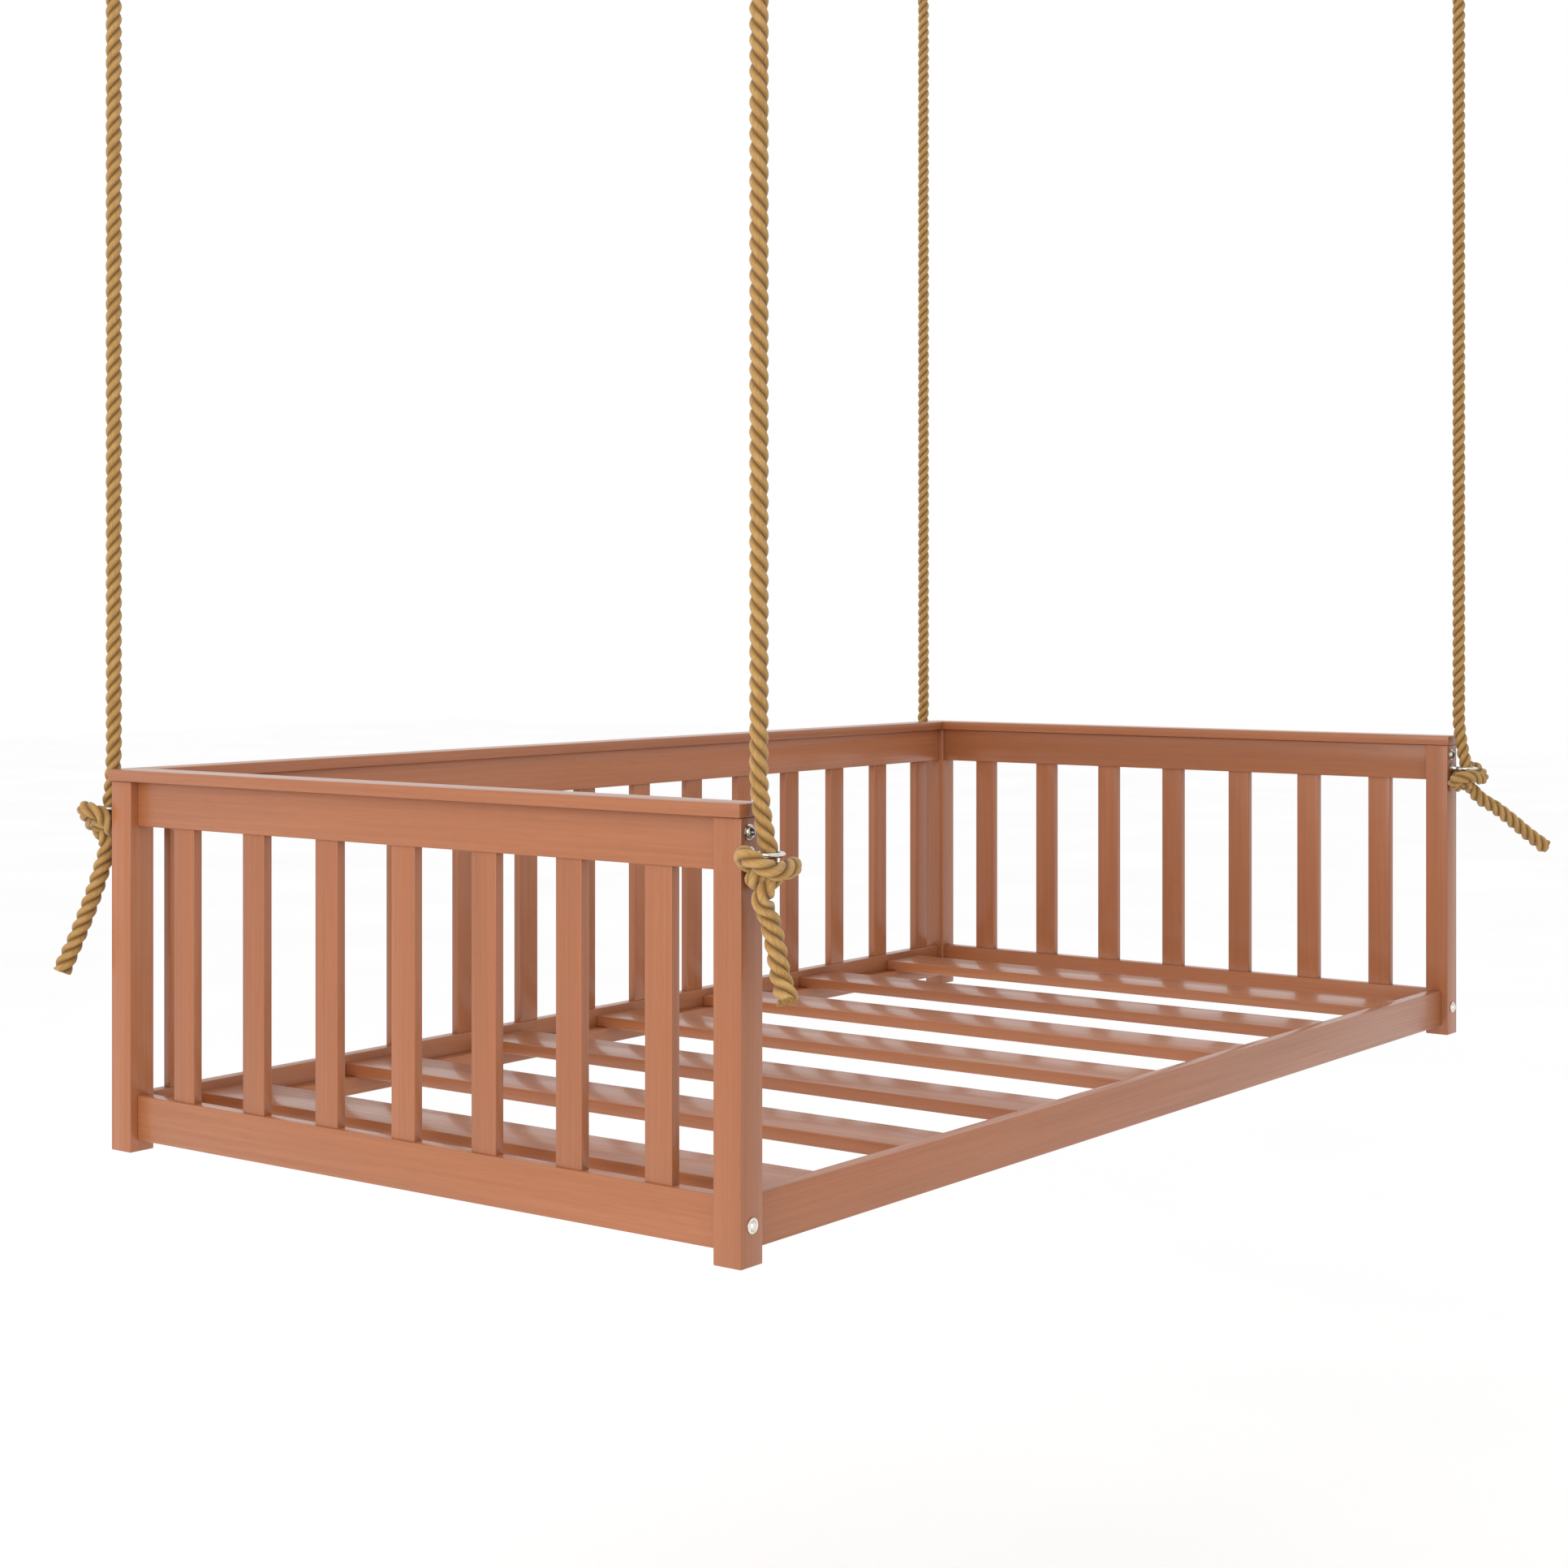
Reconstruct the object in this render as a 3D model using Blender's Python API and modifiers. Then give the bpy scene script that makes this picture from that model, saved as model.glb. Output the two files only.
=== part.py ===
"""Hanging porch daybed: a slatted wooden bed frame on four ropes from ceiling pad eyes.

World frame in metres, +Z up. The origin is the middle of the ceiling plane that the four
pad-eye plates are screwed to, so everything hangs below z = 0. The bed's long side runs
along X, its open front faces -Y and its slatted back stands at +Y.
"""
import math

import bmesh
import bpy
from mathutils import Vector

# ---------------------------------------------------------------- driving sizes
GAP = 0.0003                 # between two pieces that touch
CEILING_HEIGHT = 2.250       # ceiling plane above the feet of the posts

BED_LENGTH = 2.049           # over the posts, along X
BED_DEPTH = 1.089            # over the posts, along Y
POST_SIDE = 0.040            # square corner post
POST_HEIGHT = 0.5045         # foot to the underside of the cap boards
POST_EDGE = 0.0015           # eased edge of a post

CAP_THICKNESS = 0.0157       # flat board that runs along the top of three sides
CAP_OVER_END = 0.006         # past the outer face of the end posts
CAP_OVER_FRONT = 0.002       # past the front and back faces of the posts
CAP_OVER_INSIDE = 0.002      # past the inner faces of the posts
CAP_EDGE = 0.0012            # eased edge of a cap board

RAIL_HEIGHT = 0.061          # every rail, top and bottom
RAIL_THICKNESS = 0.020
RAIL_SETBACK = 0.012         # rail face behind the outer face of the posts
FOOT_LENGTH = 0.0155         # post end below the bottom rails

SLAT_WIDTH = 0.041           # upright slats of the back and the two ends
SLAT_THICKNESS = 0.014
SLAT_TENON = 0.008           # slat end let into a rail
END_SLATS = 7
END_SLAT_MARGIN = 0.0715     # first slat to the post
BACK_SLATS = 14
BACK_SLAT_MARGIN = 0.038     # first slat to the post

FLOOR_SLATS = 7
FLOOR_SLAT_WIDTH = 0.102
FLOOR_SLAT_THICKNESS = 0.018
FLOOR_SLAT_MARGIN = 0.0895   # first floor slat to the end panel's bottom rail
FLOOR_DROP = 0.0115          # floor surface below the top of the bottom rails
CLEAT_DEPTH = 0.020          # ledger under the floor slats, along Y
CLEAT_HEIGHT = 0.026

ROPE_RADIUS = 0.011
ROPE_SIDES = 2               # bevel resolution: eight sides
PIVOT_EASE = 0.0010          # rounded end that a stretch turns on, inside the rope's radius
PIVOT_CLEARANCE = 0.0008     # round the rounded end, in its hollow
NECK_START = 0.0065          # neck's upper face below its pivot
ROPE_CLEAR_FRONT = 0.0006    # rope to the cap board's edge
ROPE_CLEAR_BACK = 0.0070
# Each rope and ring's place along X from the middle of its post, by its sides along X and Y.
CORNER_ASIDE = {(-1, -1): -0.005, (1, -1): -0.003, (-1, 1): 0.0, (1, 1): 0.002}
BEND_ABOVE_POST = 0.0435     # where the rope starts to bend out, above the post's top
KNOT_WIDE = 4.2              # half sizes of the knot along X, Y and Z, in rope radii
KNOT_DEEP = 2.8
KNOT_HIGH = 1.95
KNOT_CLEARANCE = 0.0003      # knot to the underside of the ring, and to the post
TAIL_CLEARANCE = 0.0010      # knot's underside to where the tail routes count from

RING_BELOW_POST = 0.040      # ring's centre below the post's top
RING_BEHIND_KNOT = 0.003     # ring's centre nearer the post than the knot's middle
RING_CLEARANCE = 0.0016      # rope to the inside of the ring
RING_WIRE = 0.0029
EYE_SHANK = 0.0034
EYE_SHANK_DEPTH = 0.030      # inside the post
EYE_COLLAR_RADIUS = 0.0075
EYE_COLLAR_HEIGHT = 0.0025

BOLT_WASHER_RADIUS = 0.0092
BOLT_WASHER_HEIGHT = 0.0015
BOLT_HEAD_RADIUS = 0.0076
BOLT_HEAD_HEIGHT = 0.0050
BOLT_SHANK = 0.0040
BOLT_SHANK_DEPTH = 0.025
BOLT_BORE_CLEARANCE = 0.0004
UPPER_BOLT_BELOW_POST = 0.0165
UPPER_BOLT_ASIDE = 0.006     # towards -X of the post's middle
LOWER_BOLT_ABOVE_FOOT = 0.0465

PLATE_LENGTH = 0.084         # pad-eye plate, along Y
PLATE_WIDTH = 0.036
PLATE_THICKNESS = 0.006
HOOP_WIRE = 0.004            # pad-eye hoop and quick link
HOOP_RADIUS = 0.016
HOOP_LEG = 0.014             # straight leg between plate and hoop's arc
LINK_CLEARANCE = 0.002       # rope to the inside of the quick link
LINK_STRAIGHT = 0.040
LINK_NUT_RADIUS = 0.0068
LINK_NUT_LENGTH = 0.016
ROPE_EYE_OPENING = 0.015     # radius of the free space at the top of the rope's eye
THROAT_BELOW_LINK = 0.105    # where the two legs of the rope's eye close
THROAT_HALF_HEIGHT = 0.050
THROAT_COVER = 0.0035        # throat's skin past the two legs

# ---------------------------------------------------------------- sizes worked out
FEET_Z = -CEILING_HEIGHT
HALF_L = BED_LENGTH / 2
HALF_D = BED_DEPTH / 2
POST_TOP_Z = FEET_Z + POST_HEIGHT
CAP_BASE_Z = POST_TOP_Z + GAP
RAIL_LOW_Z = FEET_Z + FOOT_LENGTH
RAIL_LOW_TOP_Z = RAIL_LOW_Z + RAIL_HEIGHT
RAIL_HIGH_Z = POST_TOP_Z - RAIL_HEIGHT
FLOOR_TOP_Z = RAIL_LOW_TOP_Z - FLOOR_DROP
RAIL_INNER_X = HALF_L - RAIL_SETBACK - RAIL_THICKNESS
RAIL_INNER_Y = HALF_D - RAIL_SETBACK - RAIL_THICKNESS
POST_X = HALF_L - POST_SIDE / 2
POST_Y = HALF_D - POST_SIDE / 2

PIVOT_BALL = ROPE_RADIUS - PIVOT_EASE
PIVOT_SEAT = PIVOT_BALL + PIVOT_CLEARANCE
RING_RADIUS = ROPE_RADIUS + RING_CLEARANCE + RING_WIRE
LINK_RADIUS = ROPE_RADIUS + LINK_CLEARANCE + HOOP_WIRE
ROPE_EYE_RADIUS = ROPE_EYE_OPENING + ROPE_RADIUS
THROAT_HALF_SIZE = (
    ROPE_RADIUS + THROAT_COVER, 2 * ROPE_RADIUS + GAP + THROAT_COVER / 2, THROAT_HALF_HEIGHT)
KNOT_HALF_SIZE = (KNOT_WIDE * ROPE_RADIUS, KNOT_DEEP * ROPE_RADIUS, KNOT_HIGH * ROPE_RADIUS)

RING_Z = POST_TOP_Z - RING_BELOW_POST
KNOT_Z = RING_Z - RING_WIRE - KNOT_CLEARANCE - KNOT_HALF_SIZE[2]
KNOT_OUT = KNOT_CLEARANCE + KNOT_HALF_SIZE[1]
RING_OUT = KNOT_OUT - RING_BEHIND_KNOT
TAIL_TOP_Z = KNOT_Z - KNOT_HALF_SIZE[2] - TAIL_CLEARANCE
NECK_Z = POST_TOP_Z + BEND_ABOVE_POST
HOOP_PIVOT_Z = -PLATE_THICKNESS - HOOP_LEG - HOOP_RADIUS
LINK_TOP_Z = HOOP_PIVOT_Z + 2 * HOOP_WIRE + GAP
LINK_PIVOT_Z = LINK_TOP_Z - 2 * LINK_RADIUS - LINK_STRAIGHT
EYE_MIDDLE_Z = LINK_PIVOT_Z + HOOP_WIRE + GAP + ROPE_RADIUS - ROPE_EYE_RADIUS
THROAT_Z = LINK_PIVOT_Z - THROAT_BELOW_LINK

# Each corner: name, side along X, side along Y.
CORNERS = (
    ("front_left", -1, -1),
    ("front_right", 1, -1),
    ("back_left", -1, 1),
    ("back_right", 1, 1),
)

# The neck's route between its pivot above the cap board and the ring's centre, as shares of
# the way out (second figure) and of the way down (first figure).
NECK_ROUTE = ((0.00, 0.00), (0.37, 0.23), (0.71, 0.60), (1.00, 1.00))

# Each tail's route, chosen by hand: across (+X), out from the knot's middle, and up from the
# underside of the knot.
TAIL_ROUTES = {
    "front_left": (
        (-0.013, -0.007, -0.0030),
        (-0.004, -0.004, -0.0240),
        (0.001, 0.002, -0.0580),
        (0.001, 0.008, -0.0880),
        (-0.006, 0.021, -0.1070),
    ),
    "front_right": (
        (0.016, 0.015, -0.0060),
        (0.038, 0.031, -0.0210),
        (0.062, 0.051, -0.0430),
        (0.084, 0.070, -0.0660),
        (0.112, 0.094, -0.0925),
    ),
    "back_left": (
        (-0.005, -0.004, -0.0020),
        (-0.011, 0.000, -0.0330),
        (-0.022, 0.009, -0.0780),
        (-0.036, 0.022, -0.1280),
        (-0.050, 0.037, -0.1750),
    ),
    "back_right": (
        (0.002, -0.004, -0.0010),
        (0.005, -0.003, -0.0330),
        (0.008, 0.000, -0.0680),
        (0.009, 0.005, -0.1030),
        (0.007, 0.010, -0.1380),
    ),
}


# ---------------------------------------------------------------- scene set-up
def clear_scene():
    """Remove whatever objects the open file holds."""
    for item in list(bpy.data.objects):
        bpy.data.objects.remove(item, do_unlink=True)


def new_collection(name, parent=None):
    """Make a collection under the scene or under another collection."""
    made = bpy.data.collections.new(name)
    (parent or bpy.context.scene.collection).children.link(made)
    return made


def to_linear(channel):
    """One sRGB channel from 0 to 1 as linear light."""
    if channel <= 0.04045:
        return channel / 12.92
    return ((channel + 0.055) / 1.055) ** 2.4


def material(name, hex_colour, roughness, metallic):
    """A Principled material from a hex sRGB colour."""
    made = bpy.data.materials.new(name)
    made.use_nodes = True
    channels = [int(hex_colour[i:i + 2], 16) / 255 for i in (1, 3, 5)]
    colour = [to_linear(channel) for channel in channels] + [1.0]
    shader = made.node_tree.nodes["Principled BSDF"]
    shader.inputs["Base Color"].default_value = colour
    shader.inputs["Roughness"].default_value = roughness
    shader.inputs["Metallic"].default_value = metallic
    made.diffuse_color = colour
    return made


# ---------------------------------------------------------------- modelling helpers
def file_under(item, collection):
    """Leave an object in one collection only."""
    for holder in list(item.users_collection):
        holder.objects.unlink(item)
    collection.objects.link(item)


def finish_piece(item, name, finish, pivot):
    """Name a piece, give it its material, and hang it from its pivot empty."""
    item.name = name
    item.data.name = name
    item.data.materials.clear()
    item.data.materials.append(finish)
    file_under(item, PARTS)
    item.parent = pivot
    item.location = item.location - world_place(pivot)
    return item


def finish_helper(item, name, collection=None):
    """Keep an object as a cutter or a shape to be joined, out of the built parts."""
    item.name = name
    item.hide_render = True
    item.display_type = "WIRE"
    file_under(item, collection or CUTTERS)
    return item


def world_place(empty):
    """World position of an unturned empty, or the origin for none."""
    place = Vector((0, 0, 0))
    while empty is not None:
        place += empty.location
        empty = empty.parent
    return place


def pivot_empty(name, place, parent=None):
    """An empty on a joint's axis."""
    made = bpy.data.objects.new(name, None)
    made.empty_display_size = 0.03
    PARTS.objects.link(made)
    made.parent = parent
    made.location = Vector(place) - world_place(parent)
    return made


def make_box(low, high, edge=0.0):
    """A box between two corners, with optional eased edges."""
    low = Vector(low)
    high = Vector(high)
    bpy.ops.mesh.primitive_cube_add(size=1, location=(low + high) / 2)
    item = bpy.context.object
    item.scale = high - low
    bpy.ops.object.transform_apply(location=False, rotation=False, scale=True)
    if edge:
        bevel = item.modifiers.new("eased_edges", "BEVEL")
        bevel.width = edge
        bevel.segments = 1
    return item


def make_turned(profile, place, turn=(0, 0, 0), steps=16):
    """A turned solid: a profile of (radius, height) from the top down, spun about Z."""
    mesh = bpy.data.meshes.new("turned")
    points = [(radius, 0, height) for radius, height in profile]
    edges = [(i, i + 1) for i in range(len(points) - 1)]
    mesh.from_pydata(points, edges, [])
    item = bpy.data.objects.new("turned", mesh)
    PARTS.objects.link(item)
    screw = item.modifiers.new("turned", "SCREW")
    screw.steps = steps
    screw.render_steps = steps
    screw.use_merge_vertices = True
    screw.merge_threshold = 0.00001
    item.location = place
    item.rotation_euler = turn
    return item


def make_cylinder(radius, depth, place, turn=(0, 0, 0), sides=16):
    """A plain cylinder, its middle at the given place."""
    bpy.ops.mesh.primitive_cylinder_add(
        vertices=sides, radius=radius, depth=depth, location=place, rotation=turn)
    return bpy.context.object


def make_egg(half_size, place, segments=16, rings=8):
    """An ellipsoid from a UV sphere."""
    bpy.ops.mesh.primitive_uv_sphere_add(
        segments=segments, ring_count=rings, radius=1, location=place)
    item = bpy.context.object
    item.scale = half_size
    bpy.ops.object.transform_apply(location=False, rotation=False, scale=True)
    return item


def make_tube(points, radius, closed=False, sides=ROPE_SIDES):
    """A round tube along points, as a closed mesh with its origin at the world origin."""
    curve = bpy.data.curves.new("tube", "CURVE")
    curve.dimensions = "3D"
    curve.bevel_depth = radius
    curve.bevel_resolution = sides
    curve.use_fill_caps = True
    spline = curve.splines.new("POLY")
    spline.points.add(len(points) - 1)
    for point, place in zip(spline.points, points):
        point.co = (*place, 1)
    spline.use_cyclic_u = closed
    guide = bpy.data.objects.new("tube", curve)
    PARTS.objects.link(guide)
    bpy.context.view_layer.update()
    evaluated = guide.evaluated_get(bpy.context.evaluated_depsgraph_get())
    mesh = bpy.data.meshes.new_from_object(evaluated)
    cage = bmesh.new()
    cage.from_mesh(mesh)
    bmesh.ops.remove_doubles(cage, verts=cage.verts, dist=0.00001)
    bmesh.ops.recalc_face_normals(cage, faces=cage.faces)
    cage.to_mesh(mesh)
    cage.free()
    item = bpy.data.objects.new("tube", mesh)
    item.matrix_world = guide.matrix_world
    PARTS.objects.link(item)
    bpy.data.objects.remove(guide, do_unlink=True)
    return item


def combine(item, operation, other, name):
    """Join another shape to an item or cut it away, and keep that shape as a helper."""
    finish_helper(other, name)
    step = item.modifiers.new(operation.lower(), "BOOLEAN")
    step.operation = operation
    step.solver = "EXACT"
    step.object = other


def combine_group(item, collection):
    """Join every shape of a helper collection to an item."""
    step = item.modifiers.new("union", "BOOLEAN")
    step.operation = "UNION"
    step.solver = "EXACT"
    step.operand_type = "COLLECTION"
    step.collection = collection


def smooth(item):
    """Shade a round piece smooth with its corners kept sharp."""
    item.data.shade_smooth()
    item.data.set_sharp_from_angle(angle=math.radians(40))


def spread(count, width, margin, half_span):
    """Middles of evenly spread slats between two stops at plus and minus half_span."""
    first = -half_span + margin + width / 2
    pitch = -2 * first / (count - 1)
    return [first + pitch * i for i in range(count)]


def smooth_route(points, spacing):
    """Places along a smooth (Catmull-Rom) curve through the points, about spacing apart."""
    knots = [Vector(point) for point in points]
    ends = [2 * knots[0] - knots[1]] + knots + [2 * knots[-1] - knots[-2]]
    route = []
    for before, start, stop, after in zip(ends, ends[1:], ends[2:], ends[3:]):
        pieces = max(1, round((stop - start).length / spacing))
        for step in range(pieces):
            t = step / pieces
            route.append(0.5 * (
                2 * start + (stop - before) * t
                + (2 * before - 5 * start + 4 * stop - after) * t * t
                + (3 * start - before - 3 * stop + after) * t ** 3))
    route.append(knots[-1])
    return route


# ---------------------------------------------------------------- corner places
def face_y(side_y):
    """The front or back face of the posts."""
    return side_y * HALF_D


def rope_out(side_y):
    """How far the straight rope hangs out from the posts' face."""
    clear = ROPE_CLEAR_FRONT if side_y < 0 else ROPE_CLEAR_BACK
    return CAP_OVER_FRONT + clear + ROPE_RADIUS


def corner_x(side_x, side_y):
    """Where a corner's rope and ring are along X."""
    return side_x * POST_X + CORNER_ASIDE[side_x, side_y]


def rope_place(side_x, side_y, height):
    """A point on the straight rope's middle line."""
    return Vector((corner_x(side_x, side_y), side_y * (HALF_D + rope_out(side_y)), height))


def ring_place(side_x, side_y):
    """The centre of a corner's ring."""
    return Vector((corner_x(side_x, side_y), side_y * (HALF_D + RING_OUT), RING_Z))


def neck_route(side_x, side_y):
    """The rope's points from its bend above the cap board down to the ring."""
    top = rope_place(side_x, side_y, NECK_Z)
    ring = ring_place(side_x, side_y)
    route = []
    for down, out in NECK_ROUTE:
        place = Vector((top.x, top.y + (ring.y - top.y) * out, top.z + (ring.z - top.z) * down))
        route.append(place)
    return route


# ---------------------------------------------------------------- wooden pieces
def make_post(corner, side_x, side_y, wood, pivot):
    """A corner post with blind bores for its eye bolt and its two connector bolts."""
    low = (side_x * POST_X - POST_SIDE / 2, side_y * POST_Y - POST_SIDE / 2, FEET_Z)
    high = (side_x * POST_X + POST_SIDE / 2, side_y * POST_Y + POST_SIDE / 2, POST_TOP_Z)
    post = make_box(low, high, POST_EDGE)
    bores = (
        ("eye", CORNER_ASIDE[side_x, side_y], RING_Z, EYE_SHANK, EYE_SHANK_DEPTH),
        ("upper", -UPPER_BOLT_ASIDE, upper_bolt_z(), BOLT_SHANK, BOLT_SHANK_DEPTH),
        ("lower", 0, lower_bolt_z(), BOLT_SHANK, BOLT_SHANK_DEPTH),
    )
    for name, aside, height, shank, depth in bores:
        length = 2 * (depth + 2 * GAP)
        place = (side_x * POST_X + aside, face_y(side_y), height)
        bore = make_cylinder(
            shank + BOLT_BORE_CLEARANCE, length, place, (math.pi / 2, 0, 0), 12)
        combine(post, "DIFFERENCE", bore, f"cut_{name}_bore_{corner}")
    finish_piece(post, f"post_{corner}", wood, pivot)


def make_caps(wood, pivot):
    """The two end cap boards, and the back one between them."""
    outer_x = HALF_L + CAP_OVER_END
    inner_x = HALF_L - POST_SIDE - CAP_OVER_INSIDE
    outer_y = HALF_D + CAP_OVER_FRONT
    inner_y = HALF_D - POST_SIDE - CAP_OVER_INSIDE
    top = CAP_BASE_Z + CAP_THICKNESS
    for side, name in ((-1, "cap_left"), (1, "cap_right")):
        xs = sorted((side * inner_x, side * outer_x))
        cap = make_box((xs[0], -outer_y, CAP_BASE_Z), (xs[1], outer_y, top), CAP_EDGE)
        finish_piece(cap, name, wood, pivot)
    back = make_box(
        (GAP - inner_x, inner_y, CAP_BASE_Z), (inner_x - GAP, outer_y, top), CAP_EDGE)
    finish_piece(back, "cap_back", wood, pivot)


def make_end_panel(name, side_x, wood, pivot):
    """Top and bottom rails of one end with the upright slats let into them."""
    reach = HALF_D - POST_SIDE - GAP
    xs = sorted((side_x * RAIL_INNER_X, side_x * (RAIL_INNER_X + RAIL_THICKNESS)))
    mid_x = side_x * (RAIL_INNER_X + RAIL_THICKNESS / 2)
    panel = make_box((xs[0], -reach, RAIL_HIGH_Z), (xs[1], reach, POST_TOP_Z))
    group = new_collection(f"join_{name}", CUTTERS)
    low_rail = make_box((xs[0], -reach, RAIL_LOW_Z), (xs[1], reach, RAIL_LOW_TOP_Z))
    finish_helper(low_rail, f"{name}_low_rail", group)
    middles = spread(END_SLATS, SLAT_WIDTH, END_SLAT_MARGIN, HALF_D - POST_SIDE)
    for i, mid_y in enumerate(middles):
        slat = make_box(
            (mid_x - SLAT_THICKNESS / 2, mid_y - SLAT_WIDTH / 2, RAIL_LOW_TOP_Z - SLAT_TENON),
            (mid_x + SLAT_THICKNESS / 2, mid_y + SLAT_WIDTH / 2, RAIL_HIGH_Z + SLAT_TENON))
        finish_helper(slat, f"{name}_slat_{i + 1}", group)
    combine_group(panel, group)
    finish_piece(panel, name, wood, pivot)


def make_back_panel(wood, pivot):
    """Top and bottom rails of the back with the upright slats let into them."""
    reach = HALF_L - POST_SIDE - GAP
    near = RAIL_INNER_Y
    far = RAIL_INNER_Y + RAIL_THICKNESS
    mid_y = (near + far) / 2
    panel = make_box((-reach, near, RAIL_HIGH_Z), (reach, far, POST_TOP_Z))
    group = new_collection("join_back_panel", CUTTERS)
    low_rail = make_box((-reach, near, RAIL_LOW_Z), (reach, far, RAIL_LOW_TOP_Z))
    finish_helper(low_rail, "back_panel_low_rail", group)
    middles = spread(BACK_SLATS, SLAT_WIDTH, BACK_SLAT_MARGIN, HALF_L - POST_SIDE)
    for i, mid_x in enumerate(middles):
        slat = make_box(
            (mid_x - SLAT_WIDTH / 2, mid_y - SLAT_THICKNESS / 2, RAIL_LOW_TOP_Z - SLAT_TENON),
            (mid_x + SLAT_WIDTH / 2, mid_y + SLAT_THICKNESS / 2, RAIL_HIGH_Z + SLAT_TENON))
        finish_helper(slat, f"back_panel_slat_{i + 1}", group)
    combine_group(panel, group)
    finish_piece(panel, "back_panel", wood, pivot)


def make_front_rail(wood, pivot):
    """The low rail across the open front."""
    reach = HALF_L - POST_SIDE - GAP
    rail = make_box(
        (-reach, -RAIL_INNER_Y - RAIL_THICKNESS, RAIL_LOW_Z),
        (reach, -RAIL_INNER_Y, RAIL_LOW_TOP_Z))
    finish_piece(rail, "front_rail", wood, pivot)


def make_floor(wood, pivot):
    """The floor slats and the two cleats they lie on."""
    underside = FLOOR_TOP_Z - FLOOR_SLAT_THICKNESS
    reach_y = RAIL_INNER_Y - GAP
    middles = spread(FLOOR_SLATS, FLOOR_SLAT_WIDTH, FLOOR_SLAT_MARGIN, RAIL_INNER_X)
    for i, mid_x in enumerate(middles):
        slat = make_box(
            (mid_x - FLOOR_SLAT_WIDTH / 2, -reach_y, underside),
            (mid_x + FLOOR_SLAT_WIDTH / 2, reach_y, FLOOR_TOP_Z), POST_EDGE)
        finish_piece(slat, f"floor_slat_{i + 1}", wood, pivot)
    reach_x = HALF_L - POST_SIDE - GAP
    for side, name in ((-1, "cleat_front"), (1, "cleat_back")):
        ys = sorted((side * (reach_y - CLEAT_DEPTH), side * reach_y))
        cleat = make_box(
            (-reach_x, ys[0], underside - GAP - CLEAT_HEIGHT),
            (reach_x, ys[1], underside - GAP))
        finish_piece(cleat, name, wood, pivot)


# ---------------------------------------------------------------- bolts and rings
def upper_bolt_z():
    """Height of the bolt into the top rail."""
    return POST_TOP_Z - UPPER_BOLT_BELOW_POST


def lower_bolt_z():
    """Height of the bolt into the bottom rail."""
    return FEET_Z + LOWER_BOLT_ABOVE_FOOT


def outward_turn(side_y):
    """Rotation that points a turned piece's top out of the posts' face."""
    return (-side_y * math.pi / 2, 0, 0)


def make_bolt(name, place, side_y, steel, pivot):
    """A domed bolt head on a washer, with its shank in the post."""
    washer = GAP + BOLT_WASHER_HEIGHT
    rim = washer + BOLT_HEAD_HEIGHT * 0.45
    crown = washer + BOLT_HEAD_HEIGHT
    profile = (
        (0, crown),
        (BOLT_HEAD_RADIUS * 0.55, crown - BOLT_HEAD_HEIGHT * 0.1),
        (BOLT_HEAD_RADIUS * 0.88, crown - BOLT_HEAD_HEIGHT * 0.32),
        (BOLT_HEAD_RADIUS, rim),
        (BOLT_HEAD_RADIUS, washer),
        (BOLT_WASHER_RADIUS, washer),
        (BOLT_WASHER_RADIUS, GAP),
        (BOLT_SHANK, GAP),
        (BOLT_SHANK, -BOLT_SHANK_DEPTH),
        (0, -BOLT_SHANK_DEPTH),
    )
    bolt = make_turned(profile, place, outward_turn(side_y), 12)
    smooth(bolt)
    finish_piece(bolt, name, steel, pivot)


def make_eye_bolt(corner, side_x, side_y, steel, pivot):
    """A ring lying flat on a shank that is screwed into the post."""
    bpy.ops.mesh.primitive_torus_add(
        major_segments=24, minor_segments=8, major_radius=RING_RADIUS,
        minor_radius=RING_WIRE, location=ring_place(side_x, side_y))
    ring = bpy.context.object
    reach = RING_OUT - RING_RADIUS
    profile = (
        (0, reach),
        (EYE_SHANK, reach),
        (EYE_SHANK, GAP + EYE_COLLAR_HEIGHT),
        (EYE_COLLAR_RADIUS, GAP + EYE_COLLAR_HEIGHT),
        (EYE_COLLAR_RADIUS, GAP),
        (EYE_SHANK, GAP),
        (EYE_SHANK, -EYE_SHANK_DEPTH),
        (0, -EYE_SHANK_DEPTH),
    )
    place = (corner_x(side_x, side_y), face_y(side_y), RING_Z)
    shank = make_turned(profile, place, outward_turn(side_y), 12)
    combine(ring, "UNION", shank, f"join_eye_shank_{corner}")
    smooth(ring)
    finish_piece(ring, f"eye_bolt_{corner}", steel, pivot)


# ---------------------------------------------------------------- ceiling hardware
def half_circle(radius, start, stop, count):
    """Angles' sines and cosines along an arc, scaled by the radius."""
    places = []
    for i in range(count + 1):
        angle = start + (stop - start) * i / count
        places.append((radius * math.cos(angle), radius * math.sin(angle)))
    return places


def make_pad_eye(corner, side_x, side_y, steel):
    """A ceiling plate with a hoop below it, in the plane of Y and Z."""
    hang = rope_place(side_x, side_y, 0)
    half = Vector((PLATE_WIDTH / 2, PLATE_LENGTH / 2, 0))
    plate = make_box(
        hang - half - Vector((0, 0, PLATE_THICKNESS)), hang + half, 0.0012)
    arc_z = HOOP_PIVOT_Z + HOOP_RADIUS
    root_z = -PLATE_THICKNESS / 2
    route = [hang + Vector((0, HOOP_RADIUS, root_z))]
    for across, up in half_circle(HOOP_RADIUS, 0, -math.pi, 10):
        route.append(hang + Vector((0, across, arc_z + up)))
    route.append(hang + Vector((0, -HOOP_RADIUS, root_z)))
    hoop = make_tube(route, HOOP_WIRE)
    combine(plate, "UNION", hoop, f"join_hoop_{corner}")
    finish_piece(plate, f"pad_eye_{corner}", steel, None)


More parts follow.
